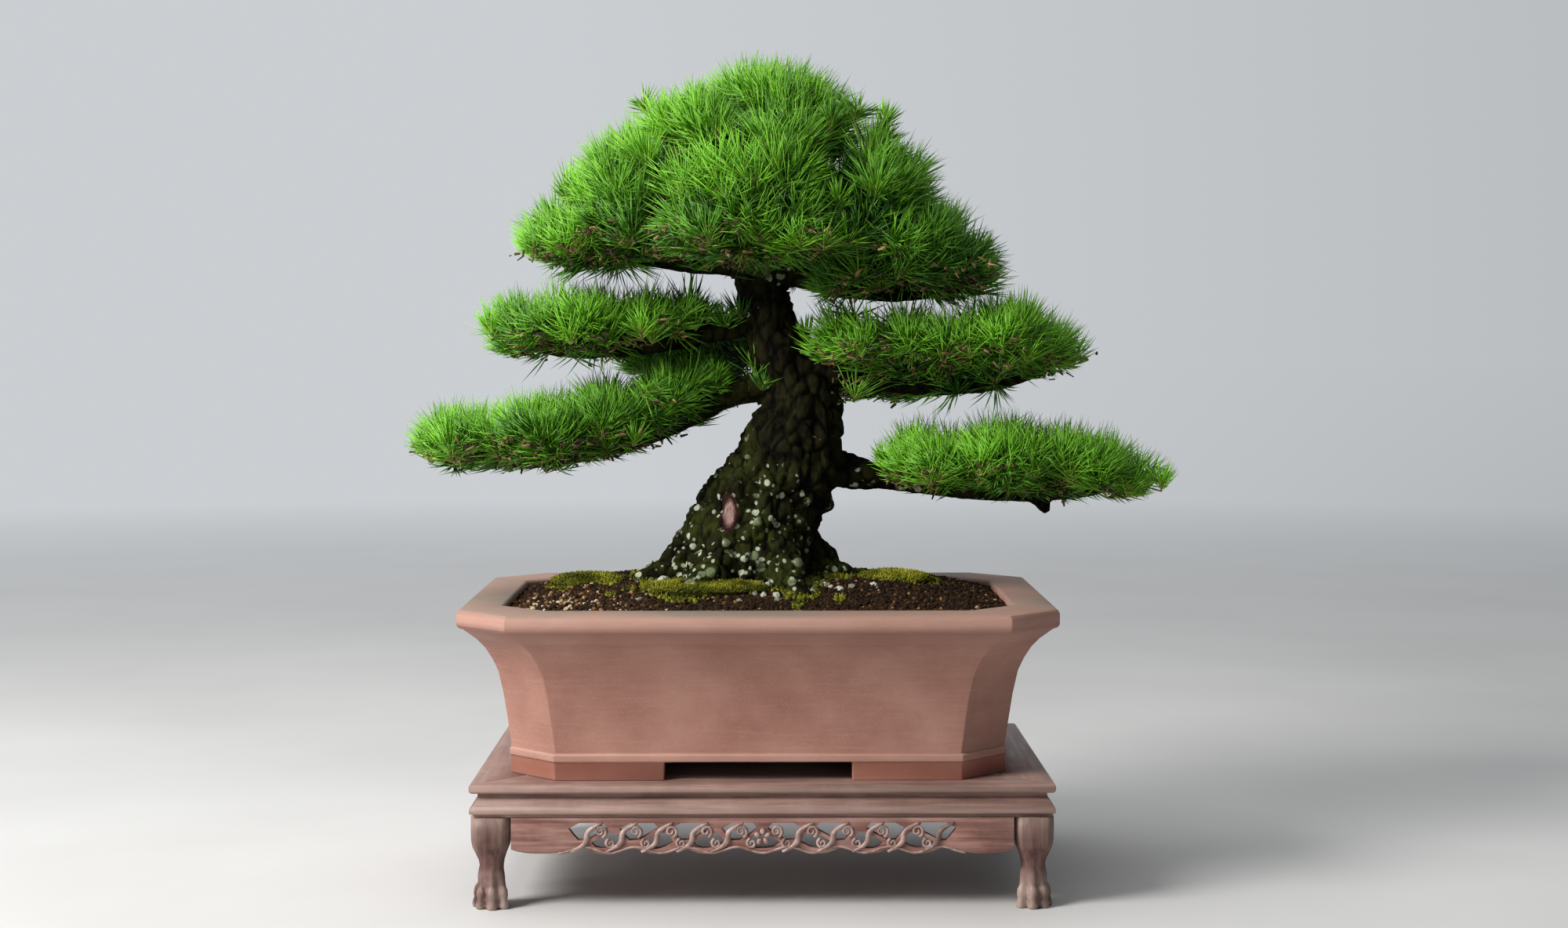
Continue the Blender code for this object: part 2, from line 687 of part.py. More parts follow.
def soil_mesh():
    """The whole soil. Fans join the edge's corners to the first ring, and bands join the rings."""
    points, faces, corners = soil_walls()
    edge = len(points) - corners
    outline = [Vector(p) for p in points[edge:]]
    starts = []
    for share in SOIL_RINGS:
        starts.append(len(points))
        points += soil_ring(outline, share)
    each = SOIL_POINTS // corners
    for i in range(corners):
        arc = [starts[0] + (i * each + k) % SOIL_POINTS for k in range(each + 1)]
        faces.append((edge + i, edge + (i + 1) % corners, arc[-1]))
        faces += [(edge + i, arc[k + 1], arc[k]) for k in range(each)]
    for outer, inner in zip(starts, starts[1:]):
        for i in range(SOIL_POINTS):
            j = (i + 1) % SOIL_POINTS
            faces.append((outer + i, outer + j, inner + j, inner + i))
    points.append((0, 0, soil_height(0, 0)))
    tip = len(points) - 1
    faces += [(starts[-1] + i, starts[-1] + (i + 1) % SOIL_POINTS, tip) for i in range(SOIL_POINTS)]
    return mesh_of("soil", points, faces)


def soil(finish, wood, wood_space):
    body = add("soil", soil_mesh(), finish)
    boolean(body, "DIFFERENCE", wood_space)
    boolean(body, "DIFFERENCE", wood)
    for sign in (-1, 1):
        space = box_mesh("space", *screen_box(sign, GAP))
        boolean(body, "DIFFERENCE", helper(f"screen_space_{sign}", space))
    mesh = largest_body(evaluated_mesh(body))
    body.modifiers.clear()
    body.data = mesh


def moss(finish, wood):
    raised = helper("raised_soil", soil_mesh())
    raised.location.z = 1.2 * GAP
    for name, ((x, y), (long, deep), rise) in MOSS.items():
        shape = bmesh.new()
        middle = Matrix.Translation((x * MM, y * MM, soil_height(x * MM, y * MM) - MOSS_SUNK))
        size = Matrix.Diagonal((long * MM, deep * MM, rise * MM + MOSS_SUNK, 1))
        bmesh.ops.create_uvsphere(shape, u_segments=20, v_segments=8, radius=1, matrix=middle @ size)
        mesh = bpy.data.meshes.new(name)
        shape.to_mesh(mesh)
        shape.free()
        patch = add(name, mesh, finish, smooth=True)
        boolean(patch, "DIFFERENCE", raised)
        boolean(patch, "DIFFERENCE", wood)
        cut = largest_body(evaluated_mesh(patch))
        patch.modifiers.clear()
        patch.data = cut
    bpy.data.objects.remove(raised)


# ---------------------------------------------------------------- wood


def add_route(curve, route):
    """A tapered limb along smooth arcs through the route's points."""
    spline = curve.splines.new("BEZIER")
    spline.bezier_points.add(len(route) - 1)
    for point, (x, y, z, radius) in zip(spline.bezier_points, route):
        point.co = (x * MM, y * MM, z * MM)
        point.radius = radius * MM
        point.handle_left_type = "AUTO"
        point.handle_right_type = "AUTO"
    spline.resolution_u = 6


def along_route(route, share):
    """The point and direction at a share of the route's length."""
    line = np.array(route, float)
    steps = np.linalg.norm(line[1:, :3] - line[:-1, :3], axis=1)
    total = np.concatenate([[0], np.cumsum(steps)])
    at = share * total[-1]
    point = np.array([np.interp(at, total, line[:, k]) for k in range(4)])
    i = min(len(steps) - 1, int(np.searchsorted(total, at, side="right")) - 1)
    return point, (line[i + 1, :3] - line[i, :3]) / steps[i]


def twigs(route, clumps):
    """Side shoots that fan out from a branch, left and right in turn, inside its pad."""
    depth = max(c[4] for c in clumps) * TWIG_SHARE
    made = []
    share = TWIG_START
    sign = 1
    while share < TWIG_END:
        point, forward = along_route(route, share)
        aside = np.cross(forward, (0, 0, 1)) * sign
        lean = aside + forward * TWIG_LEAN
        lean /= np.linalg.norm(lean)
        end = point[:3] + lean * depth
        bend = point[:3] + lean * depth * 0.5
        thick, thin = TWIG_RADII
        made.append([
            (*point[:3], thick), (*bend[:2], bend[2] + TWIG_RISE * 0.4, thick * 0.9),
            (*end[:2], end[2] + TWIG_RISE, thin),
        ])
        share += TWIG_STEP
        sign = -sign
    return made


def wood_mesh():
    curve = bpy.data.curves.new("routes", "CURVE")
    curve.dimensions = "3D"
    curve.bevel_depth = 1
    curve.bevel_resolution = 3
    curve.use_fill_caps = True
    for route in [TRUNK, STUB, *ROOTS, *BRANCHES.values()]:
        add_route(curve, route)
    for name, route in BRANCHES.items():
        for shoot in twigs(route, PADS[name]):
            add_route(curve, shoot)
    routes = bpy.data.objects.new("routes", curve)
    bpy.context.collection.objects.link(routes)
    mesh = evaluated_mesh(routes)
    bpy.data.objects.remove(routes)
    return remeshed("wood_skin", mesh, WOOD_VOXEL, WOOD_TRIANGLES)


# ---------------------------------------------------------------- foliage


def pad_mesh(name, clumps):
    shape = bmesh.new()
    for x, y, z, long, deep, high in clumps:
        place = Matrix.Translation((x * MM, y * MM, z * MM))
        size = Matrix.Diagonal((long * MM, deep * MM, high * MM, 1))
        bmesh.ops.create_icosphere(shape, subdivisions=3, radius=1, matrix=place @ size)
    mesh = bpy.data.meshes.new(name)
    shape.to_mesh(mesh)
    shape.free()
    return remeshed(f"{name}_skin", mesh, PAD_VOXEL, PAD_TRIANGLES)


def box_of(mesh):
    points = np.array([v.co for v in mesh.vertices])
    return points.min(axis=0), points.max(axis=0)


def boxes_meet(first, second):
    low_a, high_a = box_of(first)
    low_b, high_b = box_of(second)
    reach = 2 * PAD_GAP
    return bool(np.all(low_a < high_b + reach) and np.all(low_b < high_a + reach))


def foliage(finish, wood, wood_space):
    """Each pad makes room for the wood inside it and for the pads before it."""
    skins = {name: pad_mesh(name, PADS[name]) for name in PAD_ORDER}
    for number, name in enumerate(PAD_ORDER):
        pad = add(f"foliage_{name}", skins[name].copy(), finish, smooth=True)
        boolean(pad, "DIFFERENCE", wood_space)
        boolean(pad, "DIFFERENCE", wood)
        spaces = []
        for before in PAD_ORDER[:number]:
            if boxes_meet(skins[before], skins[name]):
                spaces.append(inflated(f"{before}_space", skins[before], PAD_GAP))
                boolean(pad, "DIFFERENCE", spaces[-1])
        cut = largest_body(evaluated_mesh(pad))
        pad.modifiers.clear()
        pad.data = cut
        for space in spaces:
            bpy.data.objects.remove(space)


# ---------------------------------------------------------------- whole


def centre_everything():
    """Moves the model so that its bounding box is centred on Z, by one empty that holds it."""
    bpy.context.view_layer.update()
    graph = bpy.context.evaluated_depsgraph_get()
    low = Vector((math.inf,) * 3)
    high = Vector((-math.inf,) * 3)
    solids = [o for o in bpy.context.scene.objects if o.type == "MESH"]
    for solid in (o for o in solids if not o.hide_render):
        mesh = solid.evaluated_get(graph).to_mesh()
        for vert in mesh.vertices:
            for axis in range(3):
                low[axis] = min(low[axis], vert.co[axis])
                high[axis] = max(high[axis], vert.co[axis])
    middle = (low + high) / 2
    holder = bpy.data.objects.new("bonsai", None)
    bpy.context.collection.objects.link(holder)
    for solid in solids:
        solid.parent = holder
    holder.location = (-middle.x, -middle.y, 0)


def main():
    clear_scene()
    finishes = make_materials()
    stand(finishes["wood"])
    pot(finishes["clay"])
    drain_screens(finishes["screen"])
    wood = wood_mesh()
    tree = add("trunk_and_branches", wood, finishes["bark"], smooth=True)
    wood_space = inflated("wood_space", wood, CLEARANCE)
    soil(finishes["soil"], tree, wood_space)
    moss(finishes["moss"], wood_space)
    foliage(finishes["needles"], tree, wood_space)
    bpy.data.objects.remove(wood_space)
    centre_everything()


main()
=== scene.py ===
"""Looks for the bonsai: needles, bark, soil, moss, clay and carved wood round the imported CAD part."""

import math

import bmesh
import bpy
import numpy as np
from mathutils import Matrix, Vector, noise
from mathutils.bvhtree import BVHTree


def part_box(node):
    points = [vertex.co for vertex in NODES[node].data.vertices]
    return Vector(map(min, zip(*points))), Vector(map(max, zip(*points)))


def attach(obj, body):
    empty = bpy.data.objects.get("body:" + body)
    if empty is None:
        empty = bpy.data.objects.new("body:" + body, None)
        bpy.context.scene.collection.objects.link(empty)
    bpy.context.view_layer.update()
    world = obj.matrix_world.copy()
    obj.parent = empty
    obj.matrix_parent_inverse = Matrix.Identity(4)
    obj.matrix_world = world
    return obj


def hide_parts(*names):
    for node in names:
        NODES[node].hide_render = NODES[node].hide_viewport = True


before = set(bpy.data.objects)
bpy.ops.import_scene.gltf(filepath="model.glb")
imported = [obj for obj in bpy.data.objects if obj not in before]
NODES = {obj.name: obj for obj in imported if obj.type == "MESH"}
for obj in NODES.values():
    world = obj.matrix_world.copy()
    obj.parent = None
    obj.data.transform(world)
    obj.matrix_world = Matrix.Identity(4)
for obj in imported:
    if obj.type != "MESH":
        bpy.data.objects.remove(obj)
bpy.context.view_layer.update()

MM = 0.001
PADS = sorted(name for name in NODES if name.startswith("foliage_"))
MIDDLE_X = sum(corner.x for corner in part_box("stand_top_panel")) / 2

# Camera: height and distance from the stand's middle
CAMERA_HEIGHT = 0.469
CAMERA_DISTANCE = 2.09
CAMERA_LENS = 54.5
CAMERA_PITCH = math.radians(2.97)
CAMERA_YAW = math.radians(0.52)

# The world's colour, and its strength on the dim and the bright side
AIR = (0.6, 0.625, 0.65)
AIR_STRENGTH = (0.2, 0.99)

# Foliage
TUFT_SPACING = 17 * MM
INNER_SPACING = 20 * MM
INNER_DEPTH = 48 * MM
NEEDLES_EACH = 44
NEEDLE_RADIUS = 0.66 * MM
NEEDLE_LENGTH = (24 * MM, 42 * MM)
NEEDLE_PROUD = 4 * MM
# How far the tip of a needle may stand out of its pad
TIP_PROUD = (1 * MM, 8 * MM)
# Needles closer than this to another pad close the gap to it
CREVICE = 14 * MM
STUBS_EACH = 12
# Below this slope a tuft grows on the pad's underside
UNDERSIDE = -0.3
SPREAD_INNER = math.radians(6)
SPREAD_OUTER = (math.radians(50), math.radians(76))
# Sprigs on the thinner wood near the trunk
SPRIG_SPACING = 11 * MM
SPRIG_LOWEST = 412 * MM
SPRIG_REACH = 60 * MM
SPRIG_WOOD = 34 * MM
SPRIG_LENGTH = (22 * MM, 34 * MM)

# Bark
BARK_VOXEL = 1.85 * MM
SCAR = Vector((MIDDLE_X - 30 * MM, -52 * MM, 322 * MM))
SCAR_SIZE = (8 * MM, 22 * MM, 17 * MM)

# Lichen is common below the first height and gone above the second
LICHEN_LOW = 250 * MM
LICHEN_HIGH = 400 * MM

# Soil
GRAIN_SPACING = 3.1 * MM
GRAIN_COUNT = 8600
STONE_COUNT = 110
# Below this height the stand's paws are worn pale
PAW_TOP = 34 * MM
MOSSES = ("moss_left", "moss_centre", "moss_right")
GRAIN_SIZE = (1.1 * MM, 2.5 * MM)


# ---------------------------------------------------------------- node helpers


def new_material(name, roughness=0.6, specular=0.5):
    made = bpy.data.materials.new(name)
    made.use_nodes = True
    shader = made.node_tree.nodes["Principled BSDF"]
    shader.inputs["Roughness"].default_value = roughness
    shader.inputs["Specular IOR Level"].default_value = specular
    return made, made.node_tree, shader


def add_node(tree, kind, settings=None, **inputs):
    made = tree.nodes.new(kind)
    for key, value in (settings or {}).items():
        setattr(made, key, value)
    for key, value in inputs.items():
        socket = made.inputs[key.replace("_", " ")]
        if isinstance(value, bpy.types.NodeSocket):
            tree.links.new(value, socket)
        else:
            socket.default_value = value
    return made


def position(tree, stretch=(1, 1, 1)):
    """Object coordinates, stretched."""
    place = add_node(tree, "ShaderNodeTexCoord").outputs["Object"]
    return add_node(tree, "ShaderNodeMapping", Vector=place, Scale=stretch).outputs["Vector"]


def noise_at(tree, vector, scale, detail=4.0, roughness=0.55):
    made = add_node(
        tree, "ShaderNodeTexNoise", Vector=vector, Scale=scale, Detail=detail, Roughness=roughness
    )
    return made.outputs["Fac"]


def cells_at(tree, vector, scale, feature="F1"):
    made = add_node(tree, "ShaderNodeTexVoronoi", {"feature": feature}, Vector=vector, Scale=scale)
    return made.outputs["Distance"]


def attribute(tree, name):
    return add_node(tree, "ShaderNodeAttribute", {"attribute_name": name}).outputs["Fac"]


def remap(tree, value, low, high, to_low=0.0, to_high=1.0):
    made = add_node(tree, "ShaderNodeMapRange", Value=value)
    made.inputs["From Min"].default_value = low
    made.inputs["From Max"].default_value = high
    made.inputs["To Min"].default_value = to_low
    made.inputs["To Max"].default_value = to_high
    return made.outputs["Result"]


def maths(tree, operation, first, second=0.0):
    made = tree.nodes.new("ShaderNodeMath")
    made.operation = operation
    for socket, value in zip(made.inputs, (first, second)):
        if isinstance(value, bpy.types.NodeSocket):
            tree.links.new(value, socket)
        else:
            socket.default_value = value
    return made.outputs["Value"]


def blend(tree, factor, first, second, mode="MIX"):
    """Mixes two colours, each a socket or an (r, g, b)."""
    made = tree.nodes.new("ShaderNodeMix")
    made.data_type = "RGBA"
    made.blend_type = mode
    for socket, value in ((made.inputs[0], factor), (made.inputs[6], first), (made.inputs[7], second)):
        if isinstance(value, bpy.types.NodeSocket):
            tree.links.new(value, socket)
        elif isinstance(value, tuple):
            socket.default_value = (*value, 1)
        else:
            socket.default_value = value
    return made.outputs[2]


def ramp(tree, value, stops):
    made = add_node(tree, "ShaderNodeValToRGB", Fac=value)
    elements = made.color_ramp.elements
    while len(elements) < len(stops):
        elements.new(0.5)
    for element, (place, colour) in zip(elements, stops):
        element.position = place
        element.color = (*colour, 1)
    return made.outputs["Color"]


def bump(tree, shader, height, distance, strength=1.0):
    made = add_node(tree, "ShaderNodeBump", Height=height, Distance=distance, Strength=strength)
    tree.links.new(made.outputs["Normal"], shader.inputs["Normal"])


# ---------------------------------------------------------------- materials


def clay_material():
    """Unglazed terracotta: fine speckle, wash marks and a grey weathered top."""
    made, tree, shader = new_material("unglazed_clay")
    at = position(tree)
    long_at = position(tree, (1, 1, 3.5))
    blotches = noise_at(tree, at, 14, 6, 0.6)
    streaks = noise_at(tree, long_at, 30, 5, 0.6)
    brushed = noise_at(tree, position(tree, (0.25, 0.25, 4)), 90, 4, 0.6)
    speckle = noise_at(tree, at, 900, 2, 0.5)
    base = ramp(tree, blotches, [
        (0.28, (0.27, 0.115, 0.083)), (0.5, (0.35, 0.168, 0.125)), (0.7, (0.42, 0.225, 0.175)),
    ])
    base = blend(tree, remap(tree, streaks, 0.52, 0.75, 0, 0.35), base, (0.26, 0.13, 0.105))
    base = blend(tree, remap(tree, brushed, 0.5, 0.75, 0, 0.35), base, (0.44, 0.25, 0.195))
    base = blend(tree, remap(tree, speckle, 0.55, 0.75, 0, 0.4), base, (0.5, 0.3, 0.22))
    # Edges are made paler: a painted highlight on the pot's edges.
    edge = add_node(tree, "ShaderNodeNewGeometry").outputs["Pointiness"]
    base = blend(tree, remap(tree, edge, 0.51, 0.56, 0, 0.6), base, (0.55, 0.35, 0.28))
    height = add_node(tree, "ShaderNodeSeparateXYZ", Vector=position(tree)).outputs["Z"]
    bottom, top = (corner.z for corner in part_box("pot"))
    # A darker band just under the rim: painted shade under the rim's overhang.
    under_rim_shade = maths(tree, "MULTIPLY", remap(tree, height, top - 34 * MM, top - 15 * MM), 0.5)
    under_rim_shade = maths(tree, "MULTIPLY", under_rim_shade, remap(tree, height, top - 9 * MM, top - 13 * MM))
    base = blend(tree, under_rim_shade, base, (0.21, 0.095, 0.072))
    base = blend(tree, remap(tree, height, bottom + 17 * MM, bottom + 13 * MM, 0, 0.5), base, (0.4, 0.135, 0.085))
    rim = remap(tree, height, top - 3.5 * MM, top - 1 * MM)
    weather = noise_at(tree, at, 7, 4, 0.6)
    grime = maths(tree, "MULTIPLY", rim, remap(tree, weather, 0.4, 0.58, 0.25, 0.95))
    base = blend(tree, grime, base, (0.21, 0.17, 0.13))
    tree.links.new(base, shader.inputs["Base Color"])
    tree.links.new(remap(tree, blotches, 0.3, 0.7, 0.62, 0.82), shader.inputs["Roughness"])
    relief = maths(tree, "ADD", maths(tree, "MULTIPLY", speckle, 0.5), streaks)
    bump(tree, shader, relief, 0.5 * MM, 0.5)
    return made


def needle_material():
    """Colour from each tuft's tint and the place along the needle."""
    made, tree, shader = new_material("pine_needles", 0.42, 0.35)
    along = attribute(tree, "along")
    tint = attribute(tree, "tint")
    young = ramp(tree, along, [
        (0.0, (0.5, 0.52, 0.16)), (0.12, (0.34, 0.58, 0.045)), (0.45, (0.15, 0.45, 0.012)),
        (1.0, (0.26, 0.62, 0.035)),
    ])
    old = ramp(tree, along, [
        (0.0, (0.1, 0.12, 0.03)), (0.15, (0.018, 0.085, 0.007)), (0.6, (0.011, 0.075, 0.007)),
        (1.0, (0.04, 0.15, 0.018)),
    ])
    # The tint blends the old colours into the young ones; it holds the needles' age, and painted light and shade from
    # how each tuft faces and lies.
    tree.links.new(blend(tree, tint, old, young), shader.inputs["Base Color"])
    return made


def shoot_material():
    """Twigs are brown and buds pale green, from the tint attribute."""
    made, tree, shader = new_material("shoots", 0.8, 0.2)
    tint = attribute(tree, "tint")
    colour = ramp(tree, tint, [
        (0.0, (0.03, 0.022, 0.014)), (0.3, (0.1, 0.06, 0.03)), (0.6, (0.26, 0.17, 0.075)),
        (1.0, (0.42, 0.45, 0.12)),
    ])
    tree.links.new(colour, shader.inputs["Base Color"])
    return made


def bark_material():
    """Near-black fissured bark with moss green, pale lichen and one healed scar."""
    made, tree, shader = new_material("bark", 0.95, 0.06)
    at = position(tree)
    height = add_node(tree, "ShaderNodeSeparateXYZ", Vector=at).outputs["Z"]
    plate = attribute(tree, "plate")
    grain = noise_at(tree, position(tree, (1, 1, 0.4)), 260, 5, 0.65)
    broad = noise_at(tree, at, 22, 3, 0.5)
    base = ramp(tree, plate, [
        (0.0, (0.0008, 0.0007, 0.0004)), (0.5, (0.003, 0.0027, 0.0013)), (1.0, (0.011, 0.0095, 0.004)),
    ])
    base = blend(tree, remap(tree, grain, 0.5, 0.75, 0, 0.5), base, (0.03, 0.024, 0.012))
    low = remap(tree, height, 0.5, 0.3, 0.35, 1.0)
    green = maths(tree, "MULTIPLY", remap(tree, broad, 0.42, 0.6), low)
    green = maths(tree, "MULTIPLY", green, remap(tree, grain, 0.35, 0.6, 0.1, 0.9))
    base = blend(tree, maths(tree, "MULTIPLY", green, remap(tree, plate, 0.1, 0.6)), base, (0.033, 0.042, 0.006))
    patchy = noise_at(tree, at, 30, 4, 0.65)
    rarity = remap(tree, height, LICHEN_LOW, LICHEN_HIGH, 0.36, 0.62)
    grows = remap(tree, maths(tree, "SUBTRACT", patchy, rarity), 0.0, 0.03)
    grows = maths(tree, "MULTIPLY", grows, remap(tree, plate, 0.05, 0.3))
    for scale, reach, colour in ((58, 0.3, (0.13, 0.16, 0.08)), (74, 0.25, (0.42, 0.45, 0.34)), (120, 0.27, (0.32, 0.35, 0.25))):
        spots = remap(tree, cells_at(tree, at, scale), reach, reach * 0.75)
        base = blend(tree, maths(tree, "MULTIPLY", spots, grows), base, colour)
    scar = attribute(tree, "scar")
    healed = ramp(tree, maths(tree, "ADD", scar, remap(tree, grain, 0.3, 0.7, -0.15, 0.15)), [
        (0.6, (0.028, 0.011, 0.008)), (0.85, (0.12, 0.065, 0.055)), (1.0, (0.3, 0.19, 0.17)),
    ])
    base = blend(tree, remap(tree, scar, 0.0, 0.35), base, healed)
    tree.links.new(base, shader.inputs["Base Color"])
    bump(tree, shader, grain, 1.6 * MM, 1.0)
    return made


def soil_material():
    made, tree, shader = new_material("soil", 0.95, 0.15)
    at = position(tree)
    clods = cells_at(tree, at, 260)
    colour = ramp(tree, noise_at(tree, at, 180, 4, 0.7), [
        (0.35, (0.008, 0.004, 0.002)), (0.55, (0.026, 0.013, 0.005)), (0.75, (0.07, 0.036, 0.014)),
    ])
    tree.links.new(colour, shader.inputs["Base Color"])
    bump(tree, shader, clods, 2 * MM, 1.0)
    return made


def grain_material():
    made, tree, shader = new_material("soil_grains", 0.9, 0.15)
    colour = ramp(tree, attribute(tree, "tint"), [
        (0.0, (0.008, 0.0035, 0.0015)), (0.4, (0.024, 0.011, 0.004)), (0.68, (0.07, 0.032, 0.01)),
        (0.86, (0.24, 0.13, 0.05)), (1.0, (0.5, 0.4, 0.27)),
    ])
    tree.links.new(colour, shader.inputs["Base Color"])
    return made


def moss_material():
    made, tree, shader = new_material("moss", 0.95, 0.15)
    colour = ramp(tree, attribute(tree, "tint"), [
        (0.0, (0.03, 0.034, 0.005)), (0.4, (0.13, 0.14, 0.012)), (0.75, (0.33, 0.33, 0.02)),
        (1.0, (0.55, 0.5, 0.07)),
    ])
    tree.links.new(colour, shader.inputs["Base Color"])
    return made


def moss_bed_material():
    made, tree, shader = new_material("moss_bed", 0.95, 0.15)
    at = position(tree)
    colour = ramp(tree, noise_at(tree, at, 150, 5, 0.7), [
        (0.35, (0.025, 0.028, 0.005)), (0.55, (0.09, 0.1, 0.012)), (0.75, (0.2, 0.2, 0.025)),
    ])
    tree.links.new(colour, shader.inputs["Base Color"])
    bump(tree, shader, noise_at(tree, at, 420, 3, 0.7), 1.5 * MM, 1.0)
    return made


def stand_material(name, axis, tone):
    """Worn reddish-brown wood with its grain along one axis, multiplied by a tone."""
    made, tree, shader = new_material(name, 0.5, 0.35)
    stretch = [9.0, 9.0, 9.0]
    stretch["xyz".index(axis)] = 0.5
    at = position(tree)
    fibres = noise_at(tree, position(tree, tuple(stretch)), 26, 6, 0.6)
    broad = noise_at(tree, at, 18, 4, 0.6)
    pores = noise_at(tree, position(tree, tuple(stretch)), 120, 2, 0.5)
    colour = ramp(tree, fibres, [
        (0.32, (0.09, 0.038, 0.03)), (0.5, (0.185, 0.09, 0.073)), (0.68, (0.3, 0.17, 0.14)),
    ])
    colour = blend(tree, remap(tree, broad, 0.5, 0.72, 0, 0.55), colour, (0.34, 0.23, 0.2))
    colour = blend(tree, remap(tree, broad, 0.46, 0.3, 0, 0.6), colour, (0.075, 0.03, 0.024))
    colour = blend(tree, 1.0, colour, tone, "MULTIPLY")
    height = add_node(tree, "ShaderNodeSeparateXYZ", Vector=at).outputs["Z"]
    worn = maths(tree, "MULTIPLY", remap(tree, height, PAW_TOP, PAW_TOP * 0.5), remap(tree, broad, 0.35, 0.6))
    colour = blend(tree, worn, colour, (0.4, 0.29, 0.25))
    # Edges are made paler: worn wood, and a painted highlight.
    edge = add_node(tree, "ShaderNodeNewGeometry").outputs["Pointiness"]
    colour = blend(tree, remap(tree, edge, 0.52, 0.6, 0, 0.7), colour, (0.42, 0.31, 0.26))
    tree.links.new(colour, shader.inputs["Base Color"])
    tree.links.new(remap(tree, fibres, 0.3, 0.7, 0.38, 0.62), shader.inputs["Roughness"])
    bump(tree, shader, pores, 0.25 * MM, 0.5)
    return made


def carved_material():
    """Raised carving, worn pale on its crests."""
    made, tree, shader = new_material("stand_wood_carved", 0.45)
    at = position(tree)
    colour = ramp(tree, noise_at(tree, at, 110, 4, 0.65), [
        (0.3, (0.17, 0.085, 0.07)), (0.5, (0.34, 0.22, 0.19)), (0.7, (0.5, 0.37, 0.33)),
    ])
    tree.links.new(colour, shader.inputs["Base Color"])
    bump(tree, shader, noise_at(tree, at, 400, 3, 0.6), 0.3 * MM, 0.5)
    return made


def screen_material():
    made, tree, shader = new_material("screen_plastic", 0.6)
    grid = cells_at(tree, position(tree), 500)
    colour = ramp(tree, grid, [(0.2, (0.015, 0.015, 0.015)), (0.6, (0.05, 0.05, 0.05))])
    tree.links.new(colour, shader.inputs["Base Color"])
    return made


# ---------------------------------------------------------------- mesh helpers


def triangles_mesh(name, points, faces, values=None, bake_map=None):
    """A mesh from arrays. values are float attributes of the points; bake_map is a UV for each point."""
    mesh = bpy.data.meshes.new(name)
    points = np.ascontiguousarray(points, np.float32)
    faces = np.ascontiguousarray(faces, np.int32)
    mesh.vertices.add(len(points))
    mesh.vertices.foreach_set("co", points.ravel())
    mesh.loops.add(faces.size)
    mesh.loops.foreach_set("vertex_index", faces.ravel())
    mesh.polygons.add(len(faces))
    mesh.polygons.foreach_set("loop_start", np.arange(0, faces.size, 3, dtype=np.int32))
    mesh.polygons.foreach_set("use_smooth", np.ones(len(faces), bool))
    for key, value in (values or {}).items():
        layer = mesh.attributes.new(key, "FLOAT", "POINT")
        layer.data.foreach_set("value", np.ascontiguousarray(value, np.float32))
    if bake_map is not None:
        layer = mesh.uv_layers.new(name="OFBake")
        layer.uv.foreach_set("vector", np.ascontiguousarray(bake_map[faces.ravel()], np.float32).ravel())
    mesh.update(calc_edges=True)
    return mesh


def add_piece(name, mesh, material, replaces=(), smooth=None):
    made = bpy.data.objects.new(name, mesh)
    bpy.context.collection.objects.link(made)
    mesh.materials.clear()
    mesh.materials.append(material)
    if smooth is not None:
        mesh.polygons.foreach_set("use_smooth", [smooth] * len(mesh.polygons))
    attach(made, "root")
    if replaces:
        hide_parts(*replaces)
    return made


def arrays_of(mesh):
    """Points, triangles and vertex normals of a mesh."""
    mesh.calc_loop_triangles()
    points = np.empty(len(mesh.vertices) * 3, np.float32)
    mesh.vertices.foreach_get("co", points)
    corners = np.empty(len(mesh.loop_triangles) * 3, np.int32)
    mesh.loop_triangles.foreach_get("vertices", corners)
    normals = np.empty(len(mesh.vertices) * 3, np.float32)
    mesh.vertices.foreach_get("normal", normals)
    return points.reshape(-1, 3).astype(float), corners.reshape(-1, 3), normals.reshape(-1, 3).astype(float)


def tree_of(*names):
    """One search tree over the surfaces of CAD nodes."""
    points, faces, start = [], [], 0
    for name in names:
        own, corners, _ = arrays_of(NODES[name].data)
        points.append(own)
        faces.append(corners + start)
        start += len(own)
    return BVHTree.FromPolygons(np.concatenate(points).tolist(), np.concatenate(faces).tolist())


def evaluated(thing):
    graph = bpy.context.evaluated_depsgraph_get()
    return bpy.data.meshes.new_from_object(thing.evaluated_get(graph))


def worked(node, steps):
    """A copy of a CAD node's mesh with modifiers applied: steps are (kind, settings)."""
    helper = bpy.data.objects.new("helper", NODES[node].data.copy())
    bpy.context.collection.objects.link(helper)
    for kind, settings in steps:
        step = helper.modifiers.new(kind, kind)
        for key, value in settings.items():
            setattr(step, key, value)
    bpy.context.view_layer.update()
    mesh = evaluated(helper)
    bpy.data.objects.remove(helper)
    return mesh


def unit(vectors):
    return vectors / np.maximum(np.linalg.norm(vectors, axis=-1, keepdims=True), 1e-9)


def across(directions, rng):
    """Two unit vectors at right angles to each direction, at a random turn."""
    aside = unit(np.cross(directions, unit(rng.normal(size=directions.shape))))
    return aside, np.cross(directions, aside)


def scatter(mesh, spacing, rng, tries=5):
    """Points on a mesh at least spacing apart, with smooth normals."""
    points, faces, normals = arrays_of(mesh)
    corners = points[faces]
    areas = np.linalg.norm(np.cross(corners[:, 1] - corners[:, 0], corners[:, 2] - corners[:, 0]), axis=1) / 2
    count = int(areas.sum() / spacing**2 * tries)
    chosen = rng.choice(len(faces), count, p=areas / areas.sum())
    weights = rng.dirichlet((1, 1, 1), count)[:, :, None]
    places = (corners[chosen] * weights).sum(axis=1)
    ups = unit((normals[faces[chosen]] * weights).sum(axis=1))
    kept = np.empty((0, 3))
    keep = []
    for i, place in enumerate(places):
        if len(kept) and (((kept - place) ** 2).sum(axis=1) < spacing**2).any():
            continue
        kept = np.vstack([kept, place])
        keep.append(i)
    return places[keep], ups[keep]


# ---------------------------------------------------------------- foliage


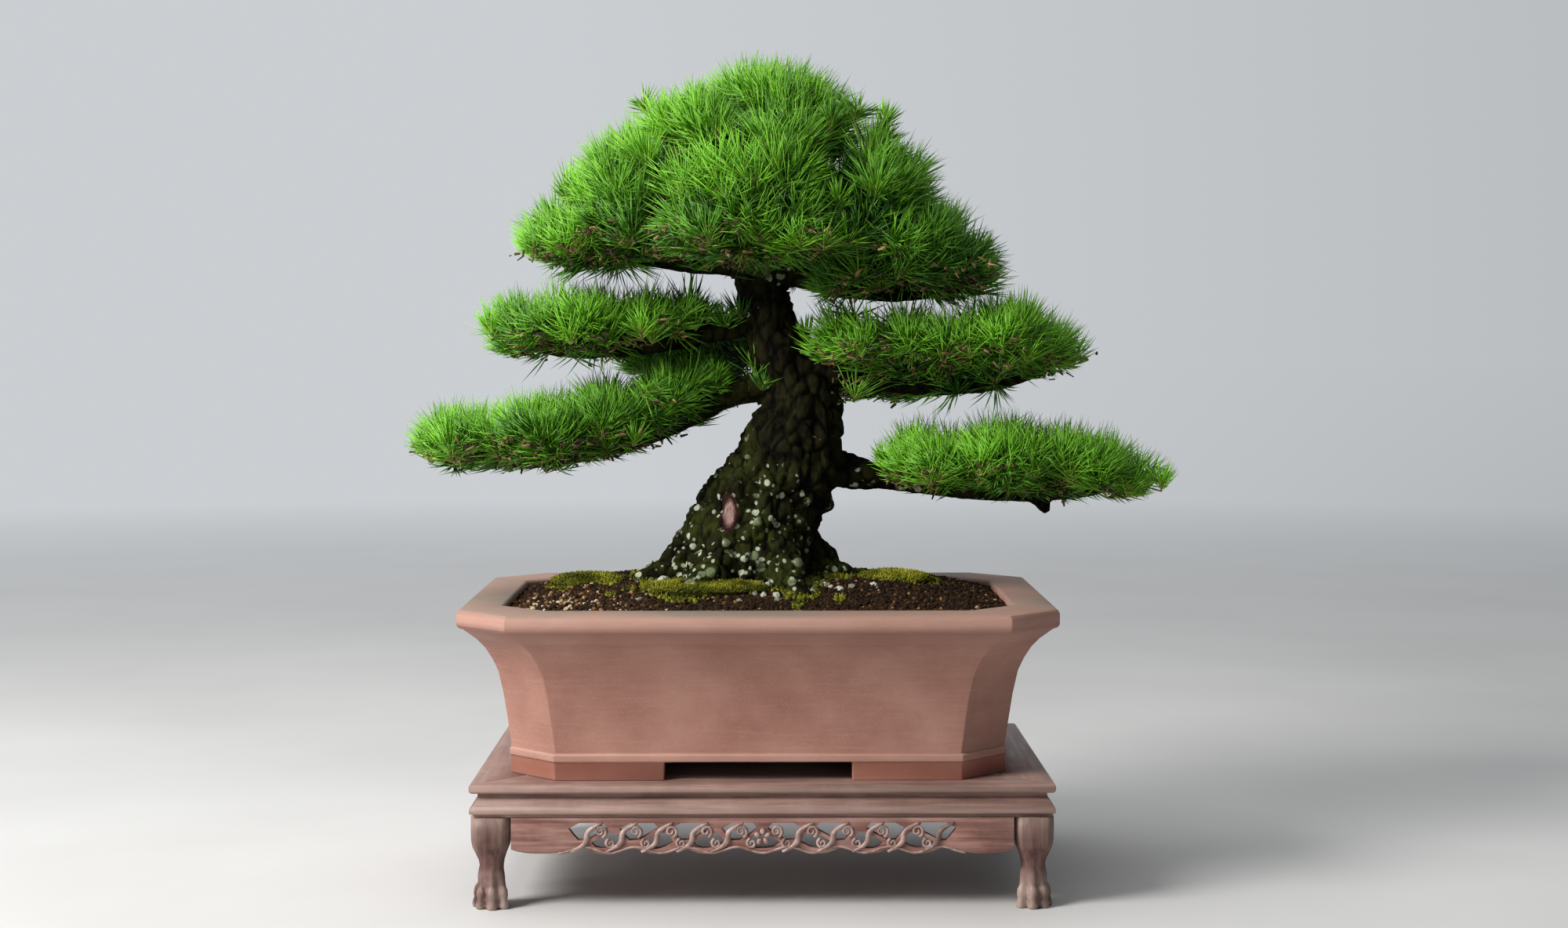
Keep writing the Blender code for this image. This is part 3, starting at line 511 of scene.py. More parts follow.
def needles_mesh(name, bases, directions, bends, lengths, tints, rng):
    """Slender three-sided needles, each bent once and pointed."""
    count = len(bases)
    aside, behind = across(directions, rng)
    turns = np.arange(3) * 2 * math.pi / 3
    ring = np.cos(turns)[None, :, None] * aside[:, None] + np.sin(turns)[None, :, None] * behind[:, None]
    reach = lengths[:, None]
    middles = bases + directions * reach * 0.55 + bends * reach * 0.25
    tips = bases + directions * reach + bends * reach
    points = np.empty((count, 7, 3))
    points[:, 0:3] = bases[:, None] + ring * NEEDLE_RADIUS * 0.75
    points[:, 3:6] = middles[:, None] + ring * NEEDLE_RADIUS
    points[:, 6] = tips
    pattern = []
    for k in range(3):
        j = (k + 1) % 3
        pattern += [(k, j, j + 3), (k, j + 3, k + 3), (k + 3, j + 3, 6)]
    faces = (np.arange(count)[:, None, None] * 7 + np.array(pattern)[None]).reshape(-1, 3)
    along = np.tile([0, 0, 0, 0.5, 0.5, 0.5, 1.0], count)
    tint = np.repeat(tints, 7)
    sway = np.tile([0, 0.004, 0.008, 0, 0.004, 0.008, 0.004], count)
    bake_map = np.stack([0.02 + 0.95 * tint + sway, 0.02 + 0.96 * along], axis=1)
    return triangles_mesh(name, points.reshape(-1, 3), faces, {"along": along, "tint": tint}, bake_map)


def thickness(surface, places, directions, most):
    """How far each place can go inwards before it comes out again."""
    found = []
    for place, direction in zip(places, directions):
        start = Vector(place - direction * 1.5 * MM)
        hit = surface.ray_cast(start, Vector(-direction), most)
        found.append(hit[3] if hit[3] is not None else most)
    return np.array(found)


def tufts_of(pad, wood, others, rng):
    """Buds, directions, needle lengths and tints of a pad's tufts, which are below it, and their places."""
    surface = tree_of(pad)
    low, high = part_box(pad)
    middle = (np.array(low) + np.array(high)) / 2
    found = []
    # Outer and inner tufts: the inner ones get a darker tint, for older needles and as painted shade deep in the pad.
    for spacing, deep, freshness_and_shade in ((TUFT_SPACING, 0.0, 0.66), (INNER_SPACING, INNER_DEPTH, 0.12)):
        places, normals = scatter(NODES[pad].data, spacing, rng)
        clear = np.array([
            wood.find_nearest(Vector(p))[3] > 2.5 * MM and others.find_nearest(Vector(p))[3] > 2 * MM
            for p in places
        ])
        under = normals[:, 2] < UNDERSIDE
        outward = unit((places - middle) * (1, 1, 0))
        flat = np.where(under[:, None], outward * 0.75, normals * 0.8)
        rise = np.where(under, 0.4, 0.48)[:, None] * np.array([0, 0, 1.0])
        lean = unit(flat + rise + rng.normal(0, 0.24, normals.shape))
        room = thickness(surface, places, lean, 0.2)
        room[under] = 0.06
        clear &= room > deep * 1.4
        length = np.clip(0.8 * room + NEEDLE_PROUD, *NEEDLE_LENGTH) * rng.uniform(0.9, 1.08, len(room))
        uneven = rng.uniform(-3, 4, len(room)) * MM
        inset = np.minimum(length - NEEDLE_PROUD + deep * 0.55 + uneven, 0.92 * room)
        buds = places - lean * inset[:, None] - normals * (1, 1, 0) * 3 * MM
        drawn_in = outward * (0.6 * length + deep)[:, None]
        buds[under] = (places - drawn_in)[under] + np.array([0, 0, 8 * MM + deep * 0.4])
        # The right pads' tufts get a lighter tint: painted light.
        right_pads_painted_light = 0.14 if pad.startswith("foliage_right") else 0
        # Up-facing tufts get a lighter tint and underside tufts a darker one: painted light and painted shade.
        tint = rng.normal(freshness_and_shade + right_pads_painted_light, 0.26, len(buds)) + 0.16 * normals[:, 2] - 0.1 * under
        columns = (buds, lean, length, np.clip(tint, 0, 1), under, places - outward * 6 * MM)
        found.append([column[clear] for column in columns])
    return [np.concatenate(column) for column in zip(*found)]


def trimmed(surface, others, bases, directions, reach, rng):
    """Needle lengths, cut so that no tip stands far out of the pad, except towards another pad."""
    allowed = rng.uniform(*TIP_PROUD, len(reach))
    for _ in range(2):
        proud = np.zeros(len(reach))
        for i, tip in enumerate(bases + directions * reach[:, None]):
            nearest, normal, _, distance = surface.find_nearest(Vector(tip))
            outside = (Vector(tip) - nearest).dot(normal) > 0
            if outside and others.find_nearest(Vector(tip))[3] > CREVICE:
                proud[i] = distance
        over = np.maximum(proud - allowed, 0)
        reach = np.maximum(reach - 1.1 * over, 0.3 * reach)
    return reach


def needles_of(name, tufts, rng, surface=None, others=None):
    """The needles of tufts, trimmed to a pad's surface if one is given."""
    buds, leans, lengths, tints = tufts[:4]
    count = len(buds)
    aside, behind = across(leans, rng)
    total = count * NEEDLES_EACH
    owner = np.repeat(np.arange(count), NEEDLES_EACH)
    turn = rng.uniform(0, 2 * math.pi, total)[:, None]
    widest = rng.uniform(*SPREAD_OUTER, count)[owner]
    tilt = (SPREAD_INNER + (widest - SPREAD_INNER) * rng.random(total) ** 0.62)[:, None]
    out = np.cos(turn) * aside[owner] + np.sin(turn) * behind[owner]
    directions = unit(leans[owner] * np.cos(tilt) + out * np.sin(tilt))
    bends = out * rng.normal(0.0, 0.05, (total, 1)) + rng.normal(0, 0.03, (total, 3)) + np.array([0, 0, 0.05])
    reach = lengths[owner] * rng.uniform(0.82, 1.04, total)
    bases = buds[owner] + directions * 1.2 * MM - leans[owner] * rng.uniform(0, 9 * MM, (total, 1))
    if surface:
        reach = trimmed(surface, others, bases, unit(directions + bends), reach, rng)
    tint = np.clip(tints[owner] + rng.normal(0, 0.08, total), 0, 1)
    return needles_mesh(name, bases, directions, bends, reach, tint, rng)


def shoots_of(pad, tufts, wood_points):
    """A twig from each bud to the nearest wood or twig, thicker where more twigs meet."""
    buds, leans = tufts[:2]
    low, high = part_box(pad)
    near = np.all((wood_points > np.array(low) - 0.02) & (wood_points < np.array(high) + 0.02), axis=1)
    starts = wood_points[near]
    order = np.argsort([((starts - bud) ** 2).sum(axis=1).min() for bud in buds])
    capacity = len(starts) + len(buds) * 3
    knots = np.empty((capacity, 3))
    parent = np.full(capacity, -1)
    used = len(starts)
    knots[:used] = starts
    for bud, lean in zip(buds[order], leans[order]):
        root = int(((knots[:used] - bud) ** 2).sum(axis=1).argmin())
        before = bud - lean * 9 * MM
        middle = knots[root] * 0.5 + before * 0.5 - np.array([0, 0, 2 * MM])
        for place in (middle, before, bud):
            knots[used] = place
            parent[used] = root
            root = used
            used += 1
    load = np.ones(used)
    for i in range(used - 1, len(starts) - 1, -1):
        if parent[i] >= len(starts):
            load[parent[i]] += load[i] * 0.34
    radius = np.clip(0.55 * MM * np.sqrt(load), 0.7 * MM, 2.4 * MM)
    ends = np.arange(len(starts), used)
    return knots, parent[ends], ends, radius


def prisms(starts, ends, start_radius, end_radius, tint_start, tint_end, sides=5):
    """Tapered tubes between pairs of points, as arrays of points, faces and tints."""
    count = len(starts)
    rng = np.random.default_rng(5)
    direction = unit(ends - starts)
    aside, behind = across(direction, rng)
    turns = np.arange(sides) * 2 * math.pi / sides
    ring = np.cos(turns)[None, :, None] * aside[:, None] + np.sin(turns)[None, :, None] * behind[:, None]
    points = np.empty((count, sides * 2 + 2, 3))
    points[:, :sides] = starts[:, None] + ring * start_radius[:, None, None]
    points[:, sides : 2 * sides] = ends[:, None] + ring * end_radius[:, None, None]
    points[:, -2] = starts - direction * start_radius[:, None] * 0.5
    points[:, -1] = ends + direction * end_radius[:, None] * 0.5
    pattern = []
    for k in range(sides):
        j = (k + 1) % sides
        pattern += [(k, j, j + sides), (k, j + sides, k + sides)]
        pattern += [(j, k, 2 * sides), (k + sides, j + sides, 2 * sides + 1)]
    faces = (np.arange(count)[:, None, None] * (2 * sides + 2) + np.array(pattern)[None]).reshape(-1, 3)
    tints = np.empty((count, sides * 2 + 2))
    tints[:, :sides] = tint_start[:, None]
    tints[:, sides : 2 * sides] = tint_end[:, None]
    tints[:, -2] = tint_start
    tints[:, -1] = tint_end
    return points.reshape(-1, 3), faces, tints.ravel()


def joined(*parts):
    """Joins (points, faces, tints) parts into one."""
    points, faces, tints, start = [], [], [], 0
    for own, corners, tint in parts:
        points.append(own)
        faces.append(corners + start)
        tints.append(tint)
        start += len(own)
    return np.concatenate(points), np.concatenate(faces), np.concatenate(tints)


def tinted_mesh(name, points, faces, tints):
    """A mesh whose bake map runs with its tint."""
    side = (np.arange(len(points)) % 7) / 7
    bake_map = np.stack([0.02 + 0.95 * tints + 0.01 * side, 0.1 + 0.8 * side], axis=1)
    return triangles_mesh(name, points, faces, {"tint": tints}, bake_map)


def bud_caps(buds, leans, rng):
    """A pale bud at the heart of each tuft."""
    slim = np.full(len(buds), 1.7 * MM)
    fresh = np.clip(rng.normal(0.8, 0.15, len(buds)), 0.4, 1)
    return prisms(buds - leans * 4 * MM, buds + leans * 3 * MM, slim, slim * 0.5, fresh * 0.6, fresh)


def old_stubs(places, rng):
    """Short brown stubs and old bud scales in patches on the underside of a pad."""
    bare = np.array([noise.noise(Vector(p) * 22) > -0.1 for p in places], bool)
    owner = np.repeat(np.flatnonzero(bare), STUBS_EACH)
    count = len(owner)
    lean = unit(rng.normal(size=(count, 3)) * (1, 1, 0.6))
    starts = places[owner] + rng.normal(0, 1, (count, 3)) * (7 * MM, 7 * MM, 2.5 * MM) + np.array([0, 0, 1.5 * MM])
    ends = starts + lean * rng.uniform(2.5 * MM, 8 * MM, (count, 1))
    thick = rng.uniform(0.6, 1.7, count) * MM
    tint = 0.05 + 0.65 * rng.random(count) ** 1.6
    return prisms(starts, ends, thick, thick * 0.6, tint, tint)


def sprigs(wood, rng):
    """Tufts on the thinner wood near the trunk, between the pads."""
    places, normals = scatter(NODES["trunk_and_branches"].data, SPRIG_SPACING, rng)
    pads = tree_of(*PADS)
    away = np.array([pads.find_nearest(Vector(p))[3] for p in places])
    keep = (away > 1 * MM) & (away < SPRIG_REACH)
    keep &= (places[:, 2] > SPRIG_LOWEST) & (normals[:, 2] > UNDERSIDE)
    keep &= thickness(wood, places, normals, 0.1) < SPRIG_WOOD
    places, normals = places[keep], normals[keep]
    lean = unit(normals * 0.6 + np.array([0, 0, 0.6]) + rng.normal(0, 0.25, normals.shape))
    length = rng.uniform(*SPRIG_LENGTH, len(places))
    tint = np.clip(rng.normal(0.3, 0.2, len(places)), 0, 1)
    return places + lean * 3 * MM, lean, length, tint, places


def foliage():
    needle = needle_material()
    shoot = shoot_material()
    wood = tree_of("trunk_and_branches")
    wood_points, _, _ = arrays_of(NODES["trunk_and_branches"].data)
    for number, pad in enumerate(PADS):
        rng = np.random.default_rng(40 + number)
        others = tree_of(*(name for name in PADS if name != pad))
        tufts = tufts_of(pad, wood, others, rng)
        short = pad.removeprefix("foliage_")
        mesh = needles_of(f"needles_{short}", tufts, rng, tree_of(pad), others)
        add_piece(f"needles_{short}", mesh, needle, replaces=[pad])
        knots, roots, ends, radius = shoots_of(pad, tufts, wood_points)
        load_tint = np.clip(0.45 - (radius[ends] - 0.7 * MM) / (1.7 * MM) * 0.3, 0.1, 0.45)
        twigs = prisms(knots[roots], knots[ends], radius[np.maximum(roots, 0)], radius[ends], load_tint, load_tint)
        caps = bud_caps(tufts[0], tufts[1], rng)
        stubs = old_stubs(tufts[5][tufts[4]], rng)
        mesh = tinted_mesh(f"shoots_{short}", *joined(twigs, caps, stubs))
        add_piece(f"shoots_{short}", mesh, shoot)
    rng = np.random.default_rng(70)
    tufts = sprigs(wood, rng)
    add_piece("needles_inner", needles_of("needles_inner", tufts, rng), needle)
    thick = np.full(len(tufts[0]), 1.3 * MM)
    twigs = prisms(tufts[4], tufts[0], thick, thick, thick * 200, thick * 200)
    mesh = tinted_mesh("shoots_inner", *joined(twigs, bud_caps(tufts[0], tufts[1], rng)))
    add_piece("shoots_inner", mesh, shoot)


# ---------------------------------------------------------------- trunk


def bark():
    """The CAD wood remeshed finely, with plates, knobs and crevices pushed into it."""
    mesh = worked("trunk_and_branches", [
        ("REMESH", {"mode": "VOXEL", "voxel_size": BARK_VOXEL}),
        ("SMOOTH", {"iterations": 3}),
    ])
    points, _, normals = arrays_of(mesh)
    coarse = tree_of("trunk_and_branches")
    widths = thickness(coarse, points, normals, 0.16)
    size = np.clip(widths / 0.09, 0.1, 1.0)
    plates = np.empty(len(points))
    knobs = np.empty(len(points))
    for i, point in enumerate(points):
        place = Vector(point)
        warp = noise.noise_vector(place * 45) * 0.35
        cells = noise.voronoi(Vector((point[0] * 78, point[1] * 78, point[2] * 44)) + warp)[0]
        plates[i] = cells[1] - cells[0]
        knobs[i] = noise.fractal(place * 38, 0.8, 2.1, 3)
    plates = np.clip(plates / 0.34, 0, 1) ** 0.6
    scar = ((points - np.array(SCAR)) / np.array(SCAR_SIZE)) ** 2
    scar = np.clip(1.3 - scar.sum(axis=1), 0, 1)
    rough = 3.6 * plates + 6.8 * knobs
    rise = (rough * (1 - scar) - 2.2 - 0.8 * scar) * MM * size
    points = points + normals * rise[:, None]
    mesh.vertices.foreach_set("co", points.astype(np.float32).ravel())
    for name, values in (("plate", plates), ("scar", scar)):
        layer = mesh.attributes.new(name, "FLOAT", "POINT")
        layer.data.foreach_set("value", values.astype(np.float32))
    mesh.update()
    add_piece("wood_skin", mesh, bark_material(), replaces=["trunk_and_branches"], smooth=True)


# ---------------------------------------------------------------- soil and moss


def grains_mesh(places, sizes, tints, rng):
    """Small angular grains, each a jittered twelve-cornered stone."""
    shape = bmesh.new()
    bmesh.ops.create_icosphere(shape, subdivisions=1, radius=1)
    pattern = np.array([v.co for v in shape.verts])
    faces = np.array([[v.index for v in f.verts] for f in shape.faces])
    shape.free()
    count = len(places)
    stretch = rng.uniform(0.7, 1.25, (count, 1, 3))
    points = pattern[None] * stretch * (1 + rng.normal(0, 0.13, (count, len(pattern), 1)))
    aside, behind = across(unit(rng.normal(size=(count, 3))), rng)
    turn = np.stack([aside, behind, np.cross(aside, behind)], axis=1)
    points = np.einsum("nij,njk->nik", points, turn) * sizes[:, None, None] + places[:, None]
    corners = (np.arange(count)[:, None, None] * len(pattern) + faces[None]).reshape(-1, 3)
    return points.reshape(-1, 3), corners, np.repeat(tints, len(pattern))


def mossiness(places, wood):
    """How mossy each place is: high in the patches and round the trunk's foot, in ragged shapes."""
    near = np.full(len(places), -1.0)
    for name in MOSSES:
        low, high = (np.array(corner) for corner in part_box(name))
        middle, half = (low + high) / 2, (high - low) / 2
        away = np.hypot(*((places - middle)[:, :2] / half[:2]).T)
        near = np.maximum(near, 1.45 - away)
    distance = np.array([wood.find_nearest(Vector(p))[3] for p in places])
    near = np.maximum(near, 0.75 - distance / (30 * MM))
    ragged = np.array([noise.fractal(Vector(p) * 42, 0.9, 2.0, 3) for p in places])
    return near + 0.85 * ragged, distance


def soil():
    NODES["soil"].data.materials.clear()
    NODES["soil"].data.materials.append(soil_material())
    rng = np.random.default_rng(7)
    places, normals = scatter(NODES["soil"].data, GRAIN_SPACING, rng, tries=2.4)
    wood = tree_of("trunk_and_branches")
    covers = tree_of(*MOSSES)
    floor_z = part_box("pot")[1].z - 12 * MM
    green, distance = mossiness(places, wood)
    covered = np.array([covers.find_nearest(Vector(p))[3] < 0.8 * MM for p in places])
    open_air = (normals[:, 2] > 0.6) & (places[:, 2] > floor_z) & (distance > 1.2 * MM) & ~covered
    mossy = open_air & (green > 0.4)
    places, green, mossy = places[open_air][:GRAIN_COUNT], green[open_air], mossy[open_air][:GRAIN_COUNT]
    count = len(places)
    sizes = GRAIN_SIZE[0] + (GRAIN_SIZE[1] - GRAIN_SIZE[0]) * rng.random(count) ** 2
    pale = np.clip((MIDDLE_X - 0.05 - places[:, 0]) / 0.12, 0, 1) * np.clip(-places[:, 1] / 0.1, 0, 1)
    tints = np.clip(rng.beta(1.5, 2.6, count) + 0.65 * pale * rng.random(count), 0, 1)
    bare = ~mossy
    mesh = tinted_mesh("soil_grains", *grains_mesh(places[bare], sizes[bare], tints[bare], rng))
    add_piece("soil_grains", mesh, grain_material(), smooth=False)
    return places[mossy]


def stones():
    """Pale lichen-grey stones on the soil round the front of the trunk's foot."""
    rng = np.random.default_rng(17)
    low, high = (np.array(corner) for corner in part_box("soil"))
    surface = tree_of("soil")
    found = []
    while len(found) < STONE_COUNT:
        x = MIDDLE_X + rng.normal(-5, 45) * MM
        y = rng.normal(-72, 16) * MM
        hit = surface.ray_cast(Vector((x, y, high[2] + 0.05)), Vector((0, 0, -1)), 0.1)
        if hit[0] is not None and y > low[1] + 12 * MM:
            found.append(hit[0])
    places = np.array(found)
    sizes = rng.uniform(1.8, 4.6, STONE_COUNT) * MM
    tints = rng.uniform(0.55, 1, STONE_COUNT)
    made, tree, shader = new_material("stones", 0.9, 0.2)
    colour = ramp(tree, attribute(tree, "tint"), [
        (0.5, (0.09, 0.085, 0.06)), (0.8, (0.24, 0.25, 0.18)), (1.0, (0.46, 0.47, 0.4)),
    ])
    tree.links.new(colour, shader.inputs["Base Color"])
    mesh = tinted_mesh("stones", *grains_mesh(places, sizes, tints, rng))
    add_piece("stones", mesh, made, smooth=False)


def moss_tufts(name, places, normals, each, material, rng, brighter=0.0):
    """Short blades that stand on the places, in patches of paler and darker green."""
    owner = np.repeat(np.arange(len(places)), each)
    directions = unit(normals[owner] + np.array([0, 0, 0.6]) + rng.normal(0, 0.5, (len(owner), 3)))
    lengths = rng.uniform(1.6, 3.8, len(owner)) * MM
    patchy = np.array([noise.noise(Vector(p) * 70) for p in places])[owner]
    tints = np.clip(0.5 + brighter + 0.8 * patchy + rng.normal(0, 0.18, len(owner)), 0, 1)
    radius = np.full(len(owner), 0.45 * MM)
    jitter = rng.normal(0, 0.6 * MM, (len(owner), 3)) * (1, 1, 0)
    start = places[owner] - directions * 0.5 * MM + jitter
    ends = start + directions * lengths[:, None]
    points, faces, tint = prisms(start, ends, radius, radius * 0.3, tints * 0.5, tints, sides=3)
    add_piece(name, tinted_mesh(name, points, faces, tint), material)


def moss(stray):
    """Each patch is a bumpy bed with short tufts on it, and ragged moss spreads round it."""
    bed = moss_bed_material()
    blade = moss_material()
    wood = tree_of("trunk_and_branches")
    for number, name in enumerate(MOSSES):
        rng = np.random.default_rng(90 + number)
        NODES[name].data.materials.clear()
        NODES[name].data.materials.append(bed)
        places, normals = scatter(NODES[name].data, 1.45 * MM, rng, tries=3)
        keep = normals[:, 2] > 0.15
        keep &= np.array([wood.find_nearest(Vector(p))[3] > 1 * MM for p in places])
        moss_tufts(f"{name}_tufts", places[keep], normals[keep], 3, blade, rng, 0.3 if name == "moss_right" else 0.05)
    rng = np.random.default_rng(97)
    heaps = grains_mesh(stray, rng.uniform(1.6, 2.9, len(stray)) * MM, rng.uniform(0.1, 0.6, len(stray)), rng)
    add_piece("moss_heaps", tinted_mesh("moss_heaps", *heaps), blade)
    up = np.tile([0, 0, 1.0], (len(stray), 1))
    moss_tufts("moss_spread", stray + up * 1.2 * MM, up, 7, blade, rng)


# ---------------------------------------------------------------- pot


def dressed(node, name, material, bevel, angle=30, segments=2):
    """A CAD node with its hard edges softened."""
    mesh = worked(node, [
        ("WELD", {"merge_threshold": 0.00001}),
        ("BEVEL", {
            "width": bevel, "segments": segments, "limit_method": "ANGLE",
            "angle_limit": math.radians(angle), "harden_normals": False,
        }),
    ])
    made = add_piece(name, mesh, material, replaces=[node], smooth=True)
    mesh.set_sharp_from_angle(angle=math.radians(38))
    return made


def pot():
    dressed("pot", "pot_body", clay_material(), 1.2 * MM, 32, 3)
    screen = screen_material()
    for side in ("left", "right"):
        node = NODES[f"drain_screen_{side}"]
        node.data.materials.clear()
        node.data.materials.append(screen)


# ---------------------------------------------------------------- stand


def stand():
    woods = {axis: stand_material(f"stand_wood_{axis}", axis, (1.1, 1.1, 1.1)) for axis in "xyz"}
    aprons = {axis: stand_material(f"apron_wood_{axis}", axis, (1.35, 1.3, 1.3)) for axis in "xy"}
    top = stand_material("top_wood", "x", (0.8, 0.86, 0.84))
    legs = stand_material("leg_wood", "z", (0.6, 0.56, 0.56))
    for side, axis in (("front", "x"), ("back", "x"), ("left", "y"), ("right", "y")):
        dressed(f"stand_top_rail_{side}", f"top_rail_{side}", woods[axis], 0.5 * MM)
        dressed(f"stand_moulding_{side}", f"moulding_{side}", woods[axis], 0.5 * MM)
        dressed(f"stand_apron_{side}", f"apron_{side}", aprons[axis], 1.1 * MM, 40, 2)
    dressed("stand_top_panel", "top_panel", top, 0.4 * MM)
    for side in ("left", "right"):
        dressed(f"stand_batten_{side}", f"batten_{side}", woods["y"], 0.8 * MM)
    for corner in ("front_left", "front_right", "back_left", "back_right"):
        mesh = worked(f"stand_leg_{corner}", [("WELD", {"merge_threshold": 0.00001})])
        name = f"stand_leg_{corner}"
        add_piece(f"leg_{corner}", mesh, legs, replaces=[name], smooth=True)
        mesh.set_sharp_from_angle(angle=math.radians(50))


def tube(path, radii, sides=7):
    """A tube along a path of points, closed at both ends."""
    path = np.array(path, float)
    steps = np.gradient(path, axis=0)
    forward = unit(steps)
    aside = unit(np.cross(forward, CARVING_OUT))
    out = np.cross(aside, forward)
    turns = np.arange(sides) * 2 * math.pi / sides
    ring = np.cos(turns)[None, :, None] * aside[:, None] + np.sin(turns)[None, :, None] * out[:, None]
    points = (path[:, None] + ring * np.array(radii)[:, None, None]).reshape(-1, 3)
    points = np.concatenate([points, path[:1], path[-1:]])
    faces = []
    for i in range(len(path) - 1):
        for k in range(sides):
            a, b = i * sides + k, i * sides + (k + 1) % sides
            faces += [(a, b, b + sides), (a, b + sides, a + sides)]
    last = (len(path) - 1) * sides
    for k in range(sides):
        j = (k + 1) % sides
        faces += [(j, k, len(points) - 2), (last + k, last + j, len(points) - 1)]
    return points, np.array(faces), np.zeros(len(points))


# The carving is drawn on the front as (across, height), with its thickness towards the viewer
CARVING_OUT = np.array([0, -1.0, 0])


def on_face(line):
    return [(u * MM, 0, z * MM) for u, z in line]


def strand(u):
    """An S-shaped strand that leans to the right, from the lower edge to the border."""
    line, radii = [], []
    for i in range(13):
        t = i / 12
        line.append((u - 13 + 26 * t + 4.0 * math.sin(2 * math.pi * t), 48.5 + 24 * t))
        radii.append((1.2 + 1.3 * math.sin(math.pi * t)) * MM)
    return tube(on_face(line), radii)


def curl(u, z, size, turn):
    """A scroll that winds inwards from a strand."""
    line, radii = [], []
    for i in range(20):
        t = i / 19
        angle = turn + t * 2.7 * math.pi
        reach = size * (1 - 0.78 * t)
        line.append((u + reach * math.cos(angle), z + reach * math.sin(angle)))
        radii.append((1.5 - 0.6 * t) * MM)
    return tube(on_face(line), radii, 6)


def petals():
    """A small flower at the middle of the carving."""
    parts = []
    for i in range(5):
        angle = math.radians(90 + 72 * i)
        line = [(r * math.cos(angle), 61 + r * math.sin(angle)) for r in (1.5, 3.5, 5.5, 7.2)]
        parts.append(tube(on_face(line), [1.2 * MM, 2.3 * MM, 2.5 * MM, 1.2 * MM]))
    return parts


def border(half):
    line = [(u, 49.5 - 2.5 * math.cos(math.pi * u / 21) + 0.6) for u in np.linspace(-half, half, int(half))]
    return tube(on_face(line), [1.1 * MM] * len(line), 5)


def carving(half):
    """All the raised carving of one apron, on its outer face."""
    parts = petals() + [border(half)]
    pitch = 29.0
    count = int((half - 12) / pitch)
    for k in range(-count, count + 1):
        if k:
            parts.append(strand(k * pitch))
        parts.append(curl((k + 0.5) * pitch - 3, 65.5, 5.2, -0.4 * math.pi) if k < count else strand(k * pitch))
        if k < count:
            parts.append(curl((k + 0.5) * pitch + 5.5, 55.5, 4.2, 0.6 * math.pi))
    return joined(*parts)


def carvings():
    """The carving on all four aprons, turned to face outwards."""
    middle = np.array([MIDDLE_X, 0, 0])
    for side, turn, half in (("front", 0, 168), ("right", 90, 84), ("back", 180, 168), ("left", 270, 84)):
        points, faces, _ = carving(half)
        low, high = (np.array(corner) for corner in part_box(f"stand_apron_{side}"))
        reach = (high - low)[0 if turn % 180 else 1] / 2
        away = np.linalg.norm(((low + high) / 2 - middle)[:2]) + reach
        points = points + CARVING_OUT * away
        cos, sin = round(math.cos(math.radians(turn))), round(math.sin(math.radians(turn)))
        points = points @ np.array([[cos, sin, 0], [-sin, cos, 0], [0, 0, 1]]) + middle
        mesh = triangles_mesh(f"carving_{side}", points, faces)
        add_piece(f"carving_{side}", mesh, carved_material())


# ---------------------------------------------------------------- stage


def camera():
    data = bpy.data.cameras.new("camera")
    data.lens = CAMERA_LENS
    data.sensor_width = 36
    data.clip_end = 100
    made = bpy.data.objects.new("camera", data)
    bpy.context.collection.objects.link(made)
    made.location = (MIDDLE_X, -CAMERA_DISTANCE, CAMERA_HEIGHT)
    made.rotation_euler = (math.pi / 2 - CAMERA_PITCH, 0, -CAMERA_YAW)
    bpy.context.scene.camera = made


def area_light(name, place, target, size, power, colour=(1, 1, 1)):
    data = bpy.data.lights.new(name, "AREA")
    data.shape = "DISK"
    data.size = size
    data.energy = power
    data.color = colour
    made = bpy.data.objects.new(name, data)
    bpy.context.collection.objects.link(made)
    made.location = place
    made.rotation_euler = (Vector(target) - Vector(place)).to_track_quat("-Z", "Y").to_euler()


def air_strength(tree, direction):
    """The world is brighter on the left and behind than on the right and in front."""
    side = add_node(tree, "ShaderNodeVectorMath", {"operation": "DOT_PRODUCT"})
    tree.links.new(direction, side.inputs[0])
    side.inputs[1].default_value = (-0.68, 0.72, 0.0)
    return remap(tree, side.outputs["Value"], -0.7, 0.78, *AIR_STRENGTH)


